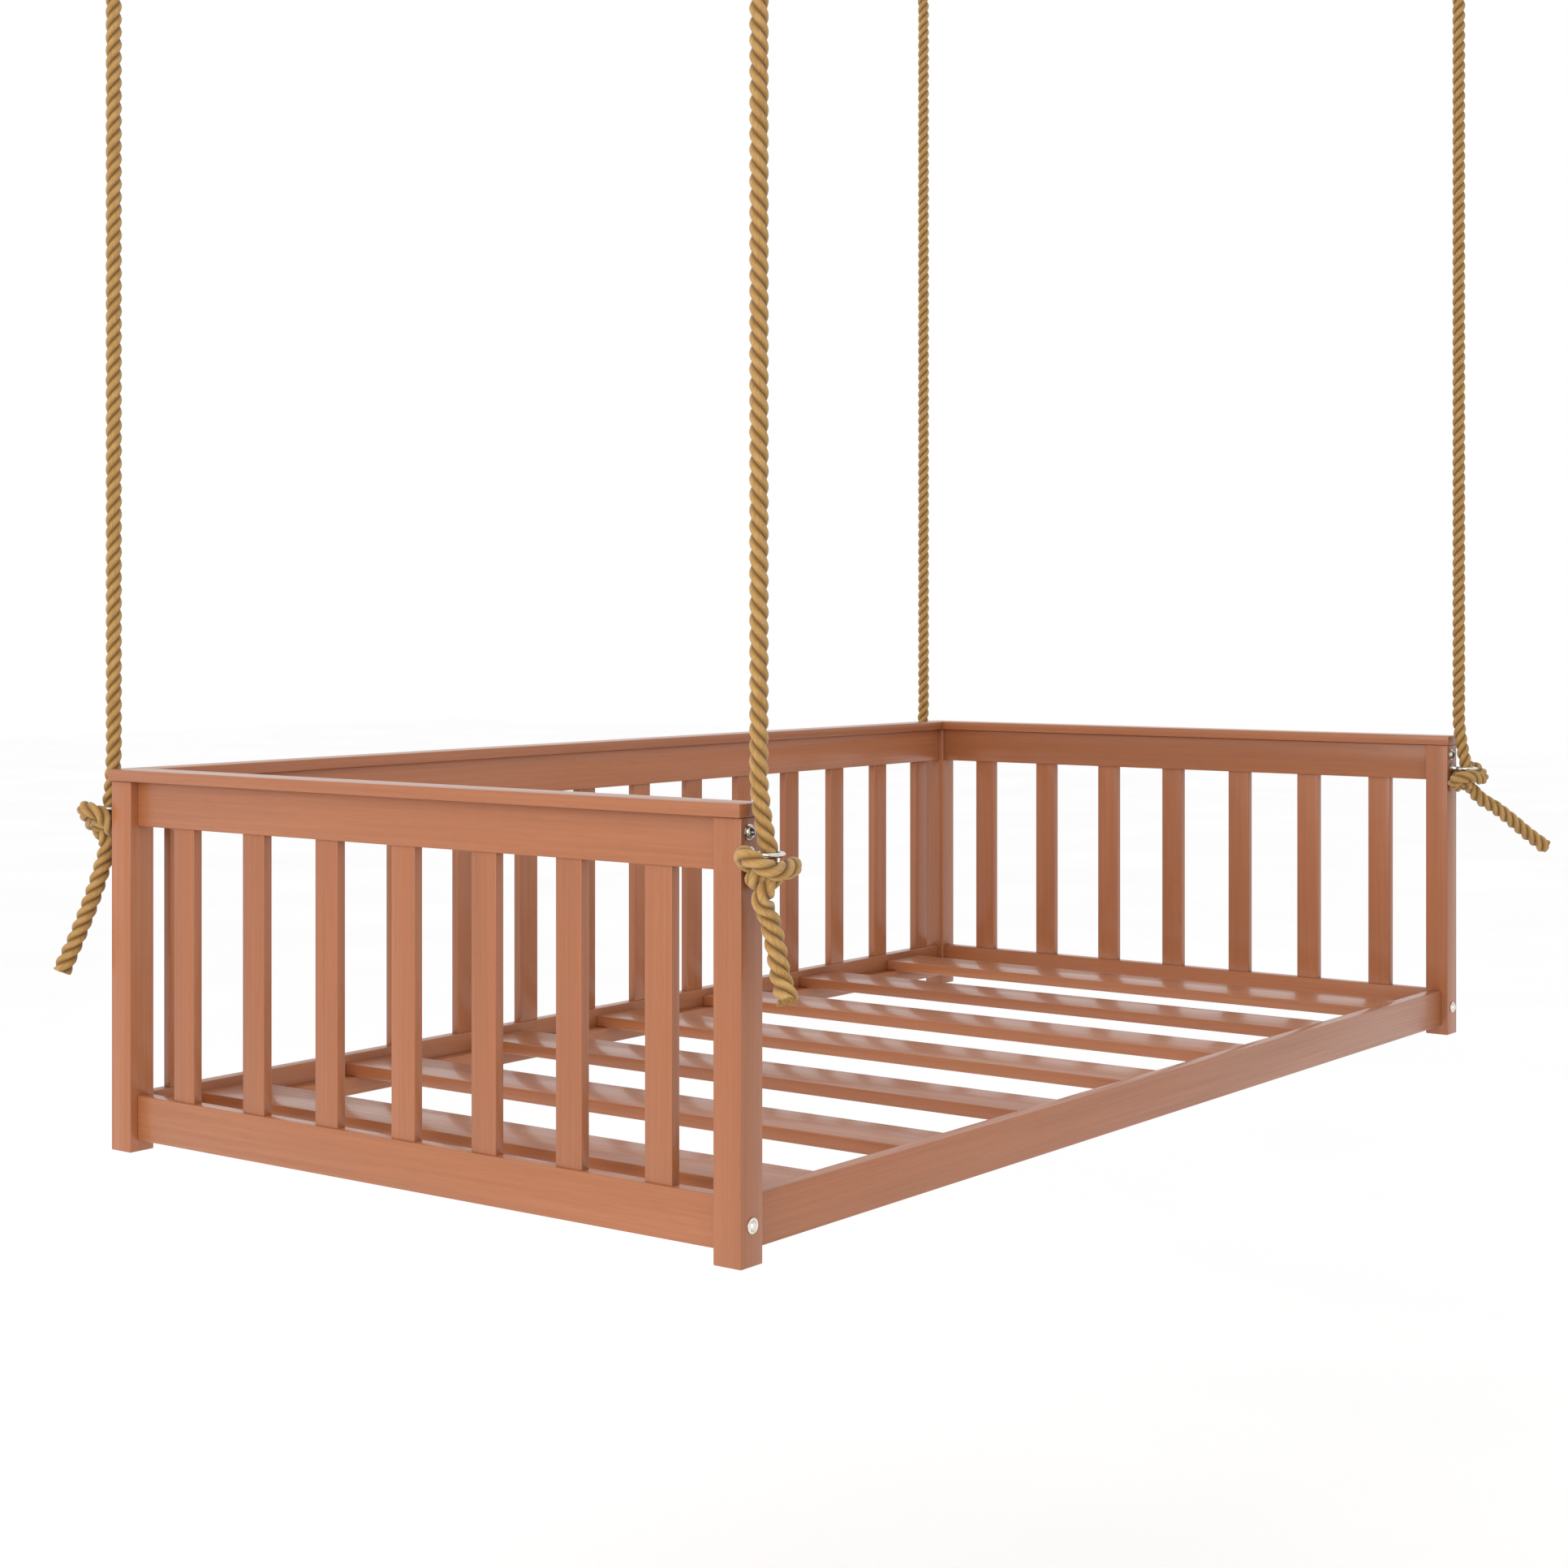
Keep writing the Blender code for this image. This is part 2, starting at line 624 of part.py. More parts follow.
def make_link(corner, side_x, side_y, steel, pivot):
    """A quick link in the plane of X and Z, with its sleeve nut on one leg."""
    hang = rope_place(side_x, side_y, 0)
    high_z = LINK_TOP_Z - LINK_RADIUS
    low_z = high_z - LINK_STRAIGHT
    route = []
    for across, up in half_circle(LINK_RADIUS, 0, math.pi, 10):
        route.append(hang + Vector((across, 0, high_z + up)))
    for across, up in half_circle(LINK_RADIUS, math.pi, 2 * math.pi, 10):
        route.append(hang + Vector((across, 0, low_z + up)))
    link = make_tube(route, HOOP_WIRE, closed=True)
    nut = make_cylinder(
        LINK_NUT_RADIUS, LINK_NUT_LENGTH,
        hang + Vector((LINK_RADIUS, 0, (high_z + low_z) / 2)), sides=6)
    combine(link, "UNION", nut, f"join_nut_{corner}")
    smooth(link)
    finish_piece(link, f"quick_link_{corner}", steel, pivot)


# ---------------------------------------------------------------- ropes
def make_rope(corner, side_x, side_y, fibre, pivot):
    """The straight rope with its eye around the quick link, rounded at its lower end."""
    spacing = 6 * ROPE_RADIUS
    low = rope_place(side_x, side_y, NECK_Z)
    high = rope_place(side_x, side_y, THROAT_Z - 0.001)
    count = round((high.z - low.z) / spacing)
    rope = make_tube([low.lerp(high, i / count) for i in range(count + 1)], ROPE_RADIUS)
    hang = rope_place(side_x, side_y, 0)
    leg_y = ROPE_RADIUS + GAP
    leg_z = THROAT_Z + 0.001
    legs = ((leg_y, leg_z), (leg_y, leg_z + 0.014), (leg_y + 0.004, leg_z + 0.040))
    route = [hang + Vector((0, across, up)) for across, up in legs]
    for across, up in half_circle(ROPE_EYE_RADIUS, 0, math.pi, 8):
        route.append(hang + Vector((0, across, EYE_MIDDLE_Z + up)))
    route += [hang + Vector((0, -across, up)) for across, up in reversed(legs)]
    eye = make_tube(route, ROPE_RADIUS)
    throat = make_egg(THROAT_HALF_SIZE, rope_place(side_x, side_y, THROAT_Z), 16, 8)
    ball = make_egg((PIVOT_BALL,) * 3, low, 16, 8)
    combine(rope, "UNION", throat, f"join_throat_{corner}")
    combine(rope, "UNION", eye, f"join_eye_{corner}")
    combine(rope, "UNION", ball, f"join_rope_end_{corner}")
    smooth(rope)
    finish_piece(rope, f"rope_{corner}", fibre, pivot)


def make_neck(corner, side_x, side_y, fibre, pivot):
    """The short stretch of rope from the bend above the cap board into the ring."""
    route = smooth_route(neck_route(side_x, side_y), 2 * ROPE_RADIUS)
    top = route[0]
    route[0] = top + (route[1] - top).normalized() * NECK_START
    neck = make_tube(route, ROPE_RADIUS)
    ball = make_egg((PIVOT_BALL,) * 3, route[-1], 16, 8)
    seat = make_egg((PIVOT_SEAT,) * 3, top, 24, 12)
    combine(neck, "UNION", ball, f"join_neck_end_{corner}")
    combine(neck, "DIFFERENCE", seat, f"cut_neck_seat_{corner}")
    smooth(neck)
    finish_piece(neck, f"rope_neck_{corner}", fibre, pivot)


def make_knot(corner, side_x, side_y, fibre, pivot):
    """The outer shape of the stopper knot, hollowed on top for the neck's end."""
    ring = ring_place(side_x, side_y)
    middle = Vector((ring.x, side_y * (HALF_D + KNOT_OUT), KNOT_Z))
    knot = make_egg(KNOT_HALF_SIZE, middle, 20, 10)
    seat = make_egg((PIVOT_SEAT,) * 3, ring, 24, 12)
    combine(knot, "DIFFERENCE", seat, f"cut_knot_seat_{corner}")
    smooth(knot)
    finish_piece(knot, f"rope_knot_{corner}", fibre, pivot)


def make_tail(corner, side_x, side_y, fibre, pivot):
    """The cut end of the rope that hangs out below the knot."""
    route = []
    for across, out, up in TAIL_ROUTES[corner]:
        route.append((
            side_x * POST_X + across, side_y * (HALF_D + KNOT_OUT + out), TAIL_TOP_Z + up))
    tail = make_tube(smooth_route(route, 2 * ROPE_RADIUS), ROPE_RADIUS)
    smooth(tail)
    finish_piece(tail, f"rope_tail_{corner}", fibre, pivot)


# ---------------------------------------------------------------- assembly
clear_scene()
PARTS = new_collection("hanging_daybed")
CUTTERS = new_collection("cutters")

WOOD = material("stained_wood", "#B4744F", 0.45, 0.0)
FIBRE = material("manila_rope", "#BF9A55", 0.85, 0.0)
ZINC = material("zinc_steel", "#C9C9C7", 0.30, 1.0)
CHROME = material("chrome_steel", "#DADADC", 0.12, 1.0)

necks = {}
for corner_name, sx, sy in CORNERS:
    hoop_pivot = pivot_empty(
        f"hoop_pivot_{corner_name}", rope_place(sx, sy, HOOP_PIVOT_Z))
    link_pivot = pivot_empty(
        f"link_pivot_{corner_name}", rope_place(sx, sy, LINK_PIVOT_Z), hoop_pivot)
    neck_pivot = pivot_empty(
        f"neck_pivot_{corner_name}", rope_place(sx, sy, NECK_Z), link_pivot)
    necks[corner_name] = neck_pivot
    make_pad_eye(corner_name, sx, sy, ZINC)
    make_link(corner_name, sx, sy, ZINC, hoop_pivot)
    make_rope(corner_name, sx, sy, FIBRE, link_pivot)
    make_neck(corner_name, sx, sy, FIBRE, neck_pivot)

bed_pivot = pivot_empty("bed_pivot", ring_place(-1, -1), necks["front_left"])
for corner_name, sx, sy in CORNERS:
    make_post(corner_name, sx, sy, WOOD, bed_pivot)
    make_eye_bolt(corner_name, sx, sy, ZINC, bed_pivot)
    make_bolt(
        f"bolt_upper_{corner_name}",
        (sx * POST_X - UPPER_BOLT_ASIDE, face_y(sy), upper_bolt_z()), sy, CHROME, bed_pivot)
    make_bolt(
        f"bolt_lower_{corner_name}",
        (sx * POST_X, face_y(sy), lower_bolt_z()), sy, ZINC, bed_pivot)
    make_knot(corner_name, sx, sy, FIBRE, bed_pivot)
    make_tail(corner_name, sx, sy, FIBRE, bed_pivot)
make_caps(WOOD, bed_pivot)
make_end_panel("end_panel_left", -1, WOOD, bed_pivot)
make_end_panel("end_panel_right", 1, WOOD, bed_pivot)
make_back_panel(WOOD, bed_pivot)
make_front_rail(WOOD, bed_pivot)
make_floor(WOOD, bed_pivot)
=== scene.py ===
import math
import random

import bpy
from bpy.props import FloatProperty, FloatVectorProperty, PointerProperty
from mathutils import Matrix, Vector


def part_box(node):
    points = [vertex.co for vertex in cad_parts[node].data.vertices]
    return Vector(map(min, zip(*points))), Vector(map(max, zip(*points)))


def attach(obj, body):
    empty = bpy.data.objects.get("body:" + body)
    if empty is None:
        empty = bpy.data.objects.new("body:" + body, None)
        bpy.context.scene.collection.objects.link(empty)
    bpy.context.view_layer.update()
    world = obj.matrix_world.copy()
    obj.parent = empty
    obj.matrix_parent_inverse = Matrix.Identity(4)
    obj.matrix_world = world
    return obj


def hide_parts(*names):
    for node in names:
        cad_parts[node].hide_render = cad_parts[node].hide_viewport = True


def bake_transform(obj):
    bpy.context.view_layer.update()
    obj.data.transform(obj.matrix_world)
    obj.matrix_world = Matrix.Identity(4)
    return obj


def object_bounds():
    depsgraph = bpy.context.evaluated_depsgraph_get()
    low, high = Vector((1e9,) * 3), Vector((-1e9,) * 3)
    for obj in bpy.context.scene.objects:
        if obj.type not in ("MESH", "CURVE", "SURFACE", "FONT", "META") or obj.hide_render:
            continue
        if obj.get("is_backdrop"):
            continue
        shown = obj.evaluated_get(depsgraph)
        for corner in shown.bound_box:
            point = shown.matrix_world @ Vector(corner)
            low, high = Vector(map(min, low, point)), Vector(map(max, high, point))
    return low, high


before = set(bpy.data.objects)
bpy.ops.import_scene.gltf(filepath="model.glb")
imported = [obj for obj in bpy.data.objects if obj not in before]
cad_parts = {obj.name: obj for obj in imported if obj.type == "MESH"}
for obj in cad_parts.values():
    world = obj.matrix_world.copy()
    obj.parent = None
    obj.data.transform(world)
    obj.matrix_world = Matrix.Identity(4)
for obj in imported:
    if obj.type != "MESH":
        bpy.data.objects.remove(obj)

bl_info = {
    "name": "Hanging Daybed",
    "version": (1, 0, 0),
    "blender": (4, 5, 0),
    "location": "View3D > Sidebar > Daybed",
    "description": "Laid ropes, boards, bolts and ceiling fittings of a hanging daybed",
    "category": "Object",
}

# Each corner's side along Y and the lay of its rope (1 right-handed, -1 left-handed).
CORNERS = {
    "front_left": (-1, -1),
    "front_right": (-1, 1),
    "back_left": (1, 1),
    "back_right": (1, 1),
}

# The ropes' facts, in metres.
ROPE_RADIUS = 0.011
ROUND_BELOW_NECK = 0.010     # the straight rope's rounded end reaches this far below the bend
WIRE = 0.004                 # radius of the hoops' and quick links' wire
GAP = 0.0003                 # between pieces that touch
ROPE_EYE_RADIUS = 0.026
EYE_STEPS = 8                # stretches round the top of the eye, an even number
THROAT_BELOW_LINK = 0.105    # from the link's lowest wire to where the eye's legs meet
LEG = ROPE_RADIUS + GAP      # each leg's middle out from the rope's line
STRAIGHT_TOP = 0.100         # the straight stretch starts this far below the throat
STRAIGHT_LOW = 0.030         # and ends this far above the neck's bend
STRAIGHT_STEP = 0.09         # between the straight stretch's points
RING_OUT = 0.0281            # ring's centre out from the posts' face
RING_RADIUS = 0.0155
RING_WIRE = 0.0029
KNOT_OUT = 0.0311            # knot's middle out from the posts' face
TAIL_TOP_BELOW_RING = 0.0471

# The eye's two legs at the throat: across from the rope's line, and up from the throat.
BACK_LEG = (
    (-0.0124, -0.040), (-0.0118, -0.028), (-LEG, -0.010), (-LEG, 0.010), (-LEG - 0.004, 0.036),
)
FRONT_LEG = (
    (LEG + 0.004, 0.036), (LEG, 0.010), (LEG, -0.010), (0.0100, -0.030), (0.0055, -0.052),
    (0.0012, -0.075),
)

# The neck's bend from the straight rope to the ring, as shares of the way down and out.
NECK_ROUTE = ((0.00, 0.00), (0.37, 0.23), (0.71, 0.60), (1.00, 1.00))

# The stopper knot's route below the ring: across, out from the posts' face, and up
# from the ring's centre.
KNOT_TURN = (
    (-0.006, 0.027, -0.012),
    (-0.015, 0.023, -0.022),
    (-0.011, 0.015, -0.029),
    (0.006, 0.012, -0.030),
    (0.021, 0.016, -0.026),
    (0.030, 0.030, -0.018),
    (0.022, 0.045, -0.014),
    (0.002, 0.051, -0.016),
    (-0.020, 0.048, -0.015),
    (-0.035, 0.036, -0.005),
    (-0.037, 0.021, 0.002),
    (-0.026, 0.012, -0.004),
    (-0.004, 0.012, -0.014),
    (0.010, 0.017, -0.017),
)

WIDE_SIDE = 0.02             # the turn's points further across than this are its wide side

# Each corner's own knot: the side its turn goes to, how far the turn's outer half is
# stretched and lifted, how far its wide side is stretched and raised, and its last two
# points before the tail.
KNOTS = {
    "front_left": (1, 1.0, 0.0, 1.0, 0.000, ((0.010, 0.031, -0.022), (-0.005, 0.034, -0.029))),
    "front_right": (-1, 1.0, 0.0, 1.25, 0.003, ((0.014, 0.032, -0.023), (0.000, 0.034, -0.032))),
    "back_left": (-1, 1.25, -0.45, 1.15, 0.019, ((0.014, 0.038, -0.024), (0.010, 0.036, -0.031))),
    "back_right": (1, 1.0, 0.0, 1.0, 0.000, ((0.011, 0.030, -0.022), (0.004, 0.035, -0.030))),
}

# The tails' routes: across (+X), out from the knot's middle, and up from the knot's
# underside.
TAIL_ROUTES = {
    "front_left": (
        (-0.013, -0.007, -0.0030),
        (-0.004, -0.004, -0.0240),
        (0.001, 0.002, -0.0580),
        (0.001, 0.008, -0.0880),
        (-0.006, 0.023, -0.1140),
    ),
    "front_right": (
        (0.016, 0.015, -0.0060),
        (0.038, 0.031, -0.0210),
        (0.062, 0.051, -0.0430),
        (0.084, 0.070, -0.0660),
        (0.112, 0.094, -0.0925),
    ),
    "back_left": (
        (-0.005, -0.004, -0.0020),
        (-0.011, 0.000, -0.0330),
        (-0.022, 0.009, -0.0780),
        (-0.036, 0.022, -0.1280),
        (-0.050, 0.037, -0.1750),
    ),
    "back_right": (
        (0.002, -0.004, -0.0010),
        (0.005, -0.003, -0.0330),
        (0.008, 0.000, -0.0680),
        (0.009, 0.005, -0.1030),
        (0.007, 0.010, -0.1380),
    ),
}

RING_SPACING = 0.0026        # between the rope's rings of vertices
CURVE_STEPS = 16             # short lines between two points of a route
STRAND_ANGLES = (-60, -57, -50, -38, -24, -8, 8, 24, 38, 50, 57)    # degrees, one strand

# Rings that close a rope's end: each one's way on and its share of the full width.
ROUND_END = ((0.35, 0.93), (0.62, 0.75), (0.80, 0.45))
CUT_END = ((0.06, 0.97), (0.07, 0.6), (0.05, 0.3))
END_REACH = 0.8              # length of a round end, as a share of the rope's radius
SWELL_LENGTH = 0.02          # a tail loosens over this length below its knot
FLARE_LENGTH = 0.05          # and its strands open over this length before the cut

# The twine that binds the eye's legs.
TWINE_RADIUS = 0.0016
TWINE_TURNS = 9
TWINE_STEPS = 36             # short lines in one turn
TWINE_CORNER = 6             # how sharply it turns from one leg across to the other
TWINE_BELOW_THROAT = 0.006
TWINE_PITCH = 2.02           # rise of one turn, as a share of the twine's radius
TWINE_BITE = 0.98            # its inner side, as a share of the rope's radius


# ---------------------------------------------------------------- colours and nodes
def colour(code):
    """A linear colour from an sRGB hex code."""
    parts = [int(code[i:i + 2], 16) / 255 for i in (1, 3, 5)]
    line = [c / 12.92 if c <= 0.04045 else ((c + 0.055) / 1.055) ** 2.4 for c in parts]
    return (*line, 1.0)


def add_node(tree, kind, links=None, out=0, stops=(), sockets=None, **settings):
    """Add a shader node with its settings, sockets, links and ramp stops, and give back one
    of its outputs."""
    node = tree.nodes.new(f"ShaderNode{kind}")
    for name, value in settings.items():
        setattr(node, name, value)
    for name, value in (sockets or {}).items():
        node.inputs[name].default_value = value
    for name, source in (links or {}).items():
        tree.links.new(source, node.inputs[name])
    for i, (place, tint) in enumerate(stops):
        node.color_ramp.elements[i].position = place
        node.color_ramp.elements[i].color = tint
    return node.outputs[out]


def new_material(name, **sockets):
    """A new material and its Principled shader, with the shader's own sockets set."""
    made = bpy.data.materials.new(name)
    made.use_nodes = True
    shader = made.node_tree.nodes["Principled BSDF"]
    for socket, value in sockets.items():
        shader.inputs[socket.replace("_", " ")].default_value = value
    return made, made.node_tree, shader


def feed(tree, shader, **sources):
    """Link patterns to the shader's inputs."""
    for socket, source in sources.items():
        tree.links.new(source, shader.inputs[socket.replace("_", " ")])


def veiled(tree, base, pattern, low, high, tint, share):
    """The base colour, darkened with the tint where the pattern is low."""
    veil = add_node(tree, "ValToRGB", {"Fac": pattern}, stops=(
        (low, colour(tint)), (high, colour("#FFFFFF"))))
    return add_node(tree, "Mix", {6: base, 7: veil}, out=2, sockets={0: share},
                    data_type="RGBA", blend_type="MULTIPLY")


# ---------------------------------------------------------------- materials
# Scales are in cells per metre; the comments give the size of a cell in millimetres.

# The timber's bands, streaks and pores: scale across the grain and along it, detail,
# roughness and distortion.
GRAIN = (
    (11.0, 0.55, 3.0, 0.5, 0.6),         # 90 across, 1800 along
    (210.0, 3.0, 4.0, 0.62, 0.25),       # 5 across, 330 along
    (900.0, 26.0, 2.0, 0.5, 0.0),        # 1.1 across, 38 along
)
FIGURE_SHIFT = 7.3           # metres of figure between the darkest and the palest board

# The rope's yarns and hairs: scale around the rope and along it, detail and distortion.
FIBRES = (
    (620.0, 34.0, 3.0, 0.4),             # 1.6 around, 29 along
    (2600.0, 120.0, 2.0, 0.0),           # 0.4 around, 8 along
)


def timber(name, axis, look):
    """Stained hardwood whose grain runs along the given axis."""
    # Planed boards under a thin satin coat: soft brown bands, fine streaks, and pores drawn
    # coarser than real ones so that they show. The streaks are a little duller than the rest,
    # and each board has its own tone and its own stretch of figure.
    made, tree, shader = new_material(
        name, Roughness=look.timber_roughness, Coat_Weight=0.35, Coat_Roughness=0.16,
        Specular_IOR_Level=0.4)
    place = add_node(tree, "TexCoord", out="Object")
    tone = add_node(tree, "Attribute", out="Fac", attribute_name="board_tone")
    shift = add_node(tree, "CombineXYZ", {"X": tone, "Y": tone, "Z": tone})
    shift = add_node(tree, "VectorMath", {0: shift}, sockets={"Scale": FIGURE_SHIFT},
                     operation="SCALE")
    place = add_node(tree, "VectorMath", {0: place, 1: shift}, operation="ADD")
    patterns = []
    for across_grain, along_grain, detail, roughness, distortion in GRAIN:
        scale = [across_grain] * 3
        scale[axis] = along_grain
        grain = add_node(tree, "Mapping", {"Vector": place}, sockets={"Scale": scale})
        patterns.append(add_node(tree, "TexNoise", {"Vector": grain}, sockets={
            "Scale": 1.0, "Detail": detail, "Roughness": roughness, "Distortion": distortion}))
    bands, streaks, pores = patterns
    base = add_node(tree, "ValToRGB", {"Fac": bands}, stops=(
        (0.30, (*look.timber_dark, 1.0)), (0.70, (*look.timber_light, 1.0))))
    base = veiled(tree, base, streaks, 0.34, 0.66, "#D6CCC6", 0.35)
    base = veiled(tree, base, pores, 0.30, 0.42, "#B5A79D", 0.22)
    base = veiled(tree, base, tone, 0.0, 1.0, "#EDE7E3", 0.9)
    dull = add_node(tree, "MapRange", {"Value": streaks}, sockets={
        "From Min": 0.3, "From Max": 0.7, "To Min": look.timber_roughness + 0.08,
        "To Max": look.timber_roughness - 0.06})
    bump = add_node(tree, "Bump", {"Height": streaks}, sockets={
        "Strength": 0.06, "Distance": 0.0006})
    feed(tree, shader, Base_Color=base, Roughness=dull, Normal=bump)
    return made


def rope_fibre(look):
    """Three-strand manila: fibres along the rope, with painted shade down in the grooves."""
    # Dull gold yarns and hairs that catch a little light, with paler patches 24 mm across and
    # painted brown shade deep between the strands, darker the deeper the groove.
    made, tree, shader = new_material(
        "manila_fibre", Roughness=0.78, Sheen_Weight=0.25, Sheen_Roughness=0.5)
    place = add_node(tree, "UVMap", uv_map="lay")
    groove = add_node(tree, "Attribute", out="Fac", attribute_name="groove")
    patterns = []
    for around, along, detail, distortion in FIBRES:
        fibres = add_node(tree, "Mapping", {"Vector": place}, sockets={
            "Scale": (around, along, 1.0)})
        patterns.append(add_node(tree, "TexNoise", {"Vector": fibres}, sockets={
            "Scale": 1.0, "Detail": detail, "Roughness": 0.6, "Distortion": distortion}))
    yarns, hairs = patterns
    patch = add_node(tree, "TexNoise", {"Vector": place}, sockets={
        "Scale": 42.0, "Detail": 2.0, "Roughness": 0.5})
    body = add_node(tree, "ValToRGB", {"Fac": patch}, stops=(
        (0.3, (*look.rope_body, 1.0)), (0.75, (*look.rope_light, 1.0))))
    body = veiled(tree, body, yarns, 0.32, 0.60, "#C4AE86", 0.55)
    body = veiled(tree, body, hairs, 0.30, 0.65, "#CBB48C", 0.4)
    # Painted shade: the deeper a place lies between the strands, the more its colour turns to the
    # groove brown.
    depth = add_node(tree, "ValToRGB", {"Fac": groove}, stops=(
        (0.08, colour("#000000")), (0.85, colour("#FFFFFF"))))
    body = add_node(tree, "Mix", {0: depth, 6: body}, out=2,
                    sockets={7: (*look.rope_brown_and_groove_shade, 1.0)}, data_type="RGBA")
    height = add_node(tree, "Math", {0: yarns, 1: hairs}, operation="ADD")
    bump = add_node(tree, "Bump", {"Height": height}, sockets={
        "Strength": 0.45, "Distance": 0.0012})
    feed(tree, shader, Base_Color=body, Normal=bump)
    return made


def twine_fibre(look):
    """Thin tarred twine that binds the rope's eye."""
    # Dull brown, mottled in spots 1.1 mm across.
    made, tree, shader = new_material("twine_fibre", Roughness=0.8)
    place = add_node(tree, "TexCoord", out="Object")
    spots = add_node(tree, "TexNoise", {"Vector": place}, sockets={
        "Scale": 900.0, "Detail": 3.0, "Roughness": 0.6})
    body = add_node(tree, "ValToRGB", {"Fac": spots}, stops=(
        (0.3, (*look.rope_brown_and_groove_shade, 1.0)), (0.7, (*look.rope_body, 1.0))))
    bump = add_node(tree, "Bump", {"Height": spots}, sockets={
        "Strength": 0.4, "Distance": 0.0006})
    feed(tree, shader, Base_Color=body, Normal=bump)
    return made


def cut_fibre(look):
    """The rope's cut end: pale fibre ends."""
    # Pale, rough clumps 1.4 mm across, coarser than single fibres so that they show.
    made, tree, shader = new_material("cut_fibre", Roughness=0.9)
    place = add_node(tree, "TexCoord", out="Object")
    clumps = add_node(tree, "TexVoronoi", {"Vector": place}, sockets={"Scale": 700.0})
    body = add_node(tree, "ValToRGB", {"Fac": clumps}, stops=(
        (0.0, (*look.rope_light, 1.0)), (0.7, (*look.rope_brown_and_groove_shade, 1.0))))
    bump = add_node(tree, "Bump", {"Height": clumps}, sockets={
        "Strength": 0.5, "Distance": 0.0008})
    feed(tree, shader, Base_Color=body, Normal=bump)
    return made


def plated_steel(name, tint, roughness, wear):
    """Plated steel with a faint, uneven polish."""
    # Bright metal whose tint and gloss drift in clouds 6 mm across, over a grit of 0.7 mm,
    # coarser than the real one so that it shows.
    made, tree, shader = new_material(name, Metallic=1.0, Roughness=roughness)
    place = add_node(tree, "TexCoord", out="Object")
    cloud = add_node(tree, "TexNoise", {"Vector": place}, sockets={
        "Scale": 160.0, "Detail": 4.0, "Roughness": 0.6})
    grit = add_node(tree, "TexNoise", {"Vector": place}, sockets={
        "Scale": 1500.0, "Detail": 2.0, "Roughness": 0.5})
    body = add_node(tree, "ValToRGB", {"Fac": cloud}, stops=(
        (0.35, colour(tint)), (0.7, colour("#F2F2EF"))))
    dull = add_node(tree, "MapRange", {"Value": cloud}, sockets={
        "From Min": 0.3, "From Max": 0.7, "To Min": max(0.04, roughness - wear),
        "To Max": roughness + wear})
    bump = add_node(tree, "Bump", {"Height": grit}, sockets={
        "Strength": 0.05, "Distance": 0.0003})
    feed(tree, shader, Base_Color=body, Roughness=dull, Normal=bump)
    return made


def painted_floor(look):
    """Plain pale studio floor."""
    # Even matt paint, its white drifting in clouds 1.25 m across.
    made, tree, shader = new_material("studio_floor", Roughness=0.75)
    place = add_node(tree, "TexCoord", out="Object")
    cloud = add_node(tree, "TexNoise", {"Vector": place}, sockets={
        "Scale": 0.8, "Detail": 2.0})
    body = add_node(tree, "ValToRGB", {"Fac": cloud}, stops=(
        (0.3, (*look.floor_colour, 1.0)), (0.7, colour("#FFFFFF"))))
    feed(tree, shader, Base_Color=body)
    return made


MATERIALS = {}


def finish(name):
    """One of the daybed's materials, made when it is first asked for."""
    if name not in MATERIALS:
        look = bpy.context.scene.daybed_look
        MATERIALS[name] = {
            "timber_x": lambda: timber("stained_timber_along_x", 0, look),
            "timber_y": lambda: timber("stained_timber_along_y", 1, look),
            "timber_z": lambda: timber("stained_timber_upright", 2, look),
            "rope": lambda: rope_fibre(look),
            "twine": lambda: twine_fibre(look),
            "cut": lambda: cut_fibre(look),
            "zinc": lambda: plated_steel("zinc_plated_steel", "#C4C4C0", 0.26, 0.08),
            "nickel": lambda: plated_steel("satin_nickel_plate", "#D9CFC0", 0.42, 0.06),
            "chrome": lambda: plated_steel("polished_chrome", "#8F8B88", 0.12, 0.04),
            "floor": lambda: painted_floor(look),
        }[name]()
    return MATERIALS[name]


# ---------------------------------------------------------------- modelling helpers
def clear_selection():
    """Nothing selected, in object mode."""
    if bpy.context.object and bpy.context.object.mode != "OBJECT":
        bpy.ops.object.mode_set(mode="OBJECT")
    bpy.ops.object.select_all(action="DESELECT")


def pick(*pieces):
    """Select only these pieces, the first one active."""
    clear_selection()
    for piece in pieces:
        piece.select_set(True)
    bpy.context.view_layer.objects.active = pieces[0]


def settle(piece):
    """Put the piece's place, turn and scale into its mesh."""
    pick(piece)
    bpy.ops.object.transform_apply(location=True, rotation=True, scale=True)


def copy_of(piece, offset):
    """A copy with its own mesh, moved by the offset."""
    pick(piece)
    bpy.ops.object.duplicate(linked=False)
    made = bpy.context.object
    bpy.ops.transform.translate(value=offset)
    return made


def ease_edges(edge, segments=3, profile=0.5, angle=35):
    """Ease all edges of the active piece, and shade it smooth up to an angle in degrees."""
    bpy.ops.object.mode_set(mode="EDIT")
    bpy.ops.mesh.select_all(action="SELECT")
    bpy.ops.mesh.bevel(offset=edge, segments=segments, profile=profile, affect="EDGES")
    bpy.ops.object.mode_set(mode="OBJECT")
    bpy.ops.object.shade_smooth_by_angle(angle=math.radians(angle))


def join(name, pieces):
    """Join pieces into one, named, with its place in its mesh."""
    pick(*pieces)
    if len(pieces) > 1:
        bpy.ops.object.join()
    made = bpy.context.object
    made.name = name
    made.data.name = name
    settle(made)
    return made


def box_middle(node):
    """The middle of a CAD node's box."""
    low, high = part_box(node)
    return (Vector(low) + Vector(high)) / 2


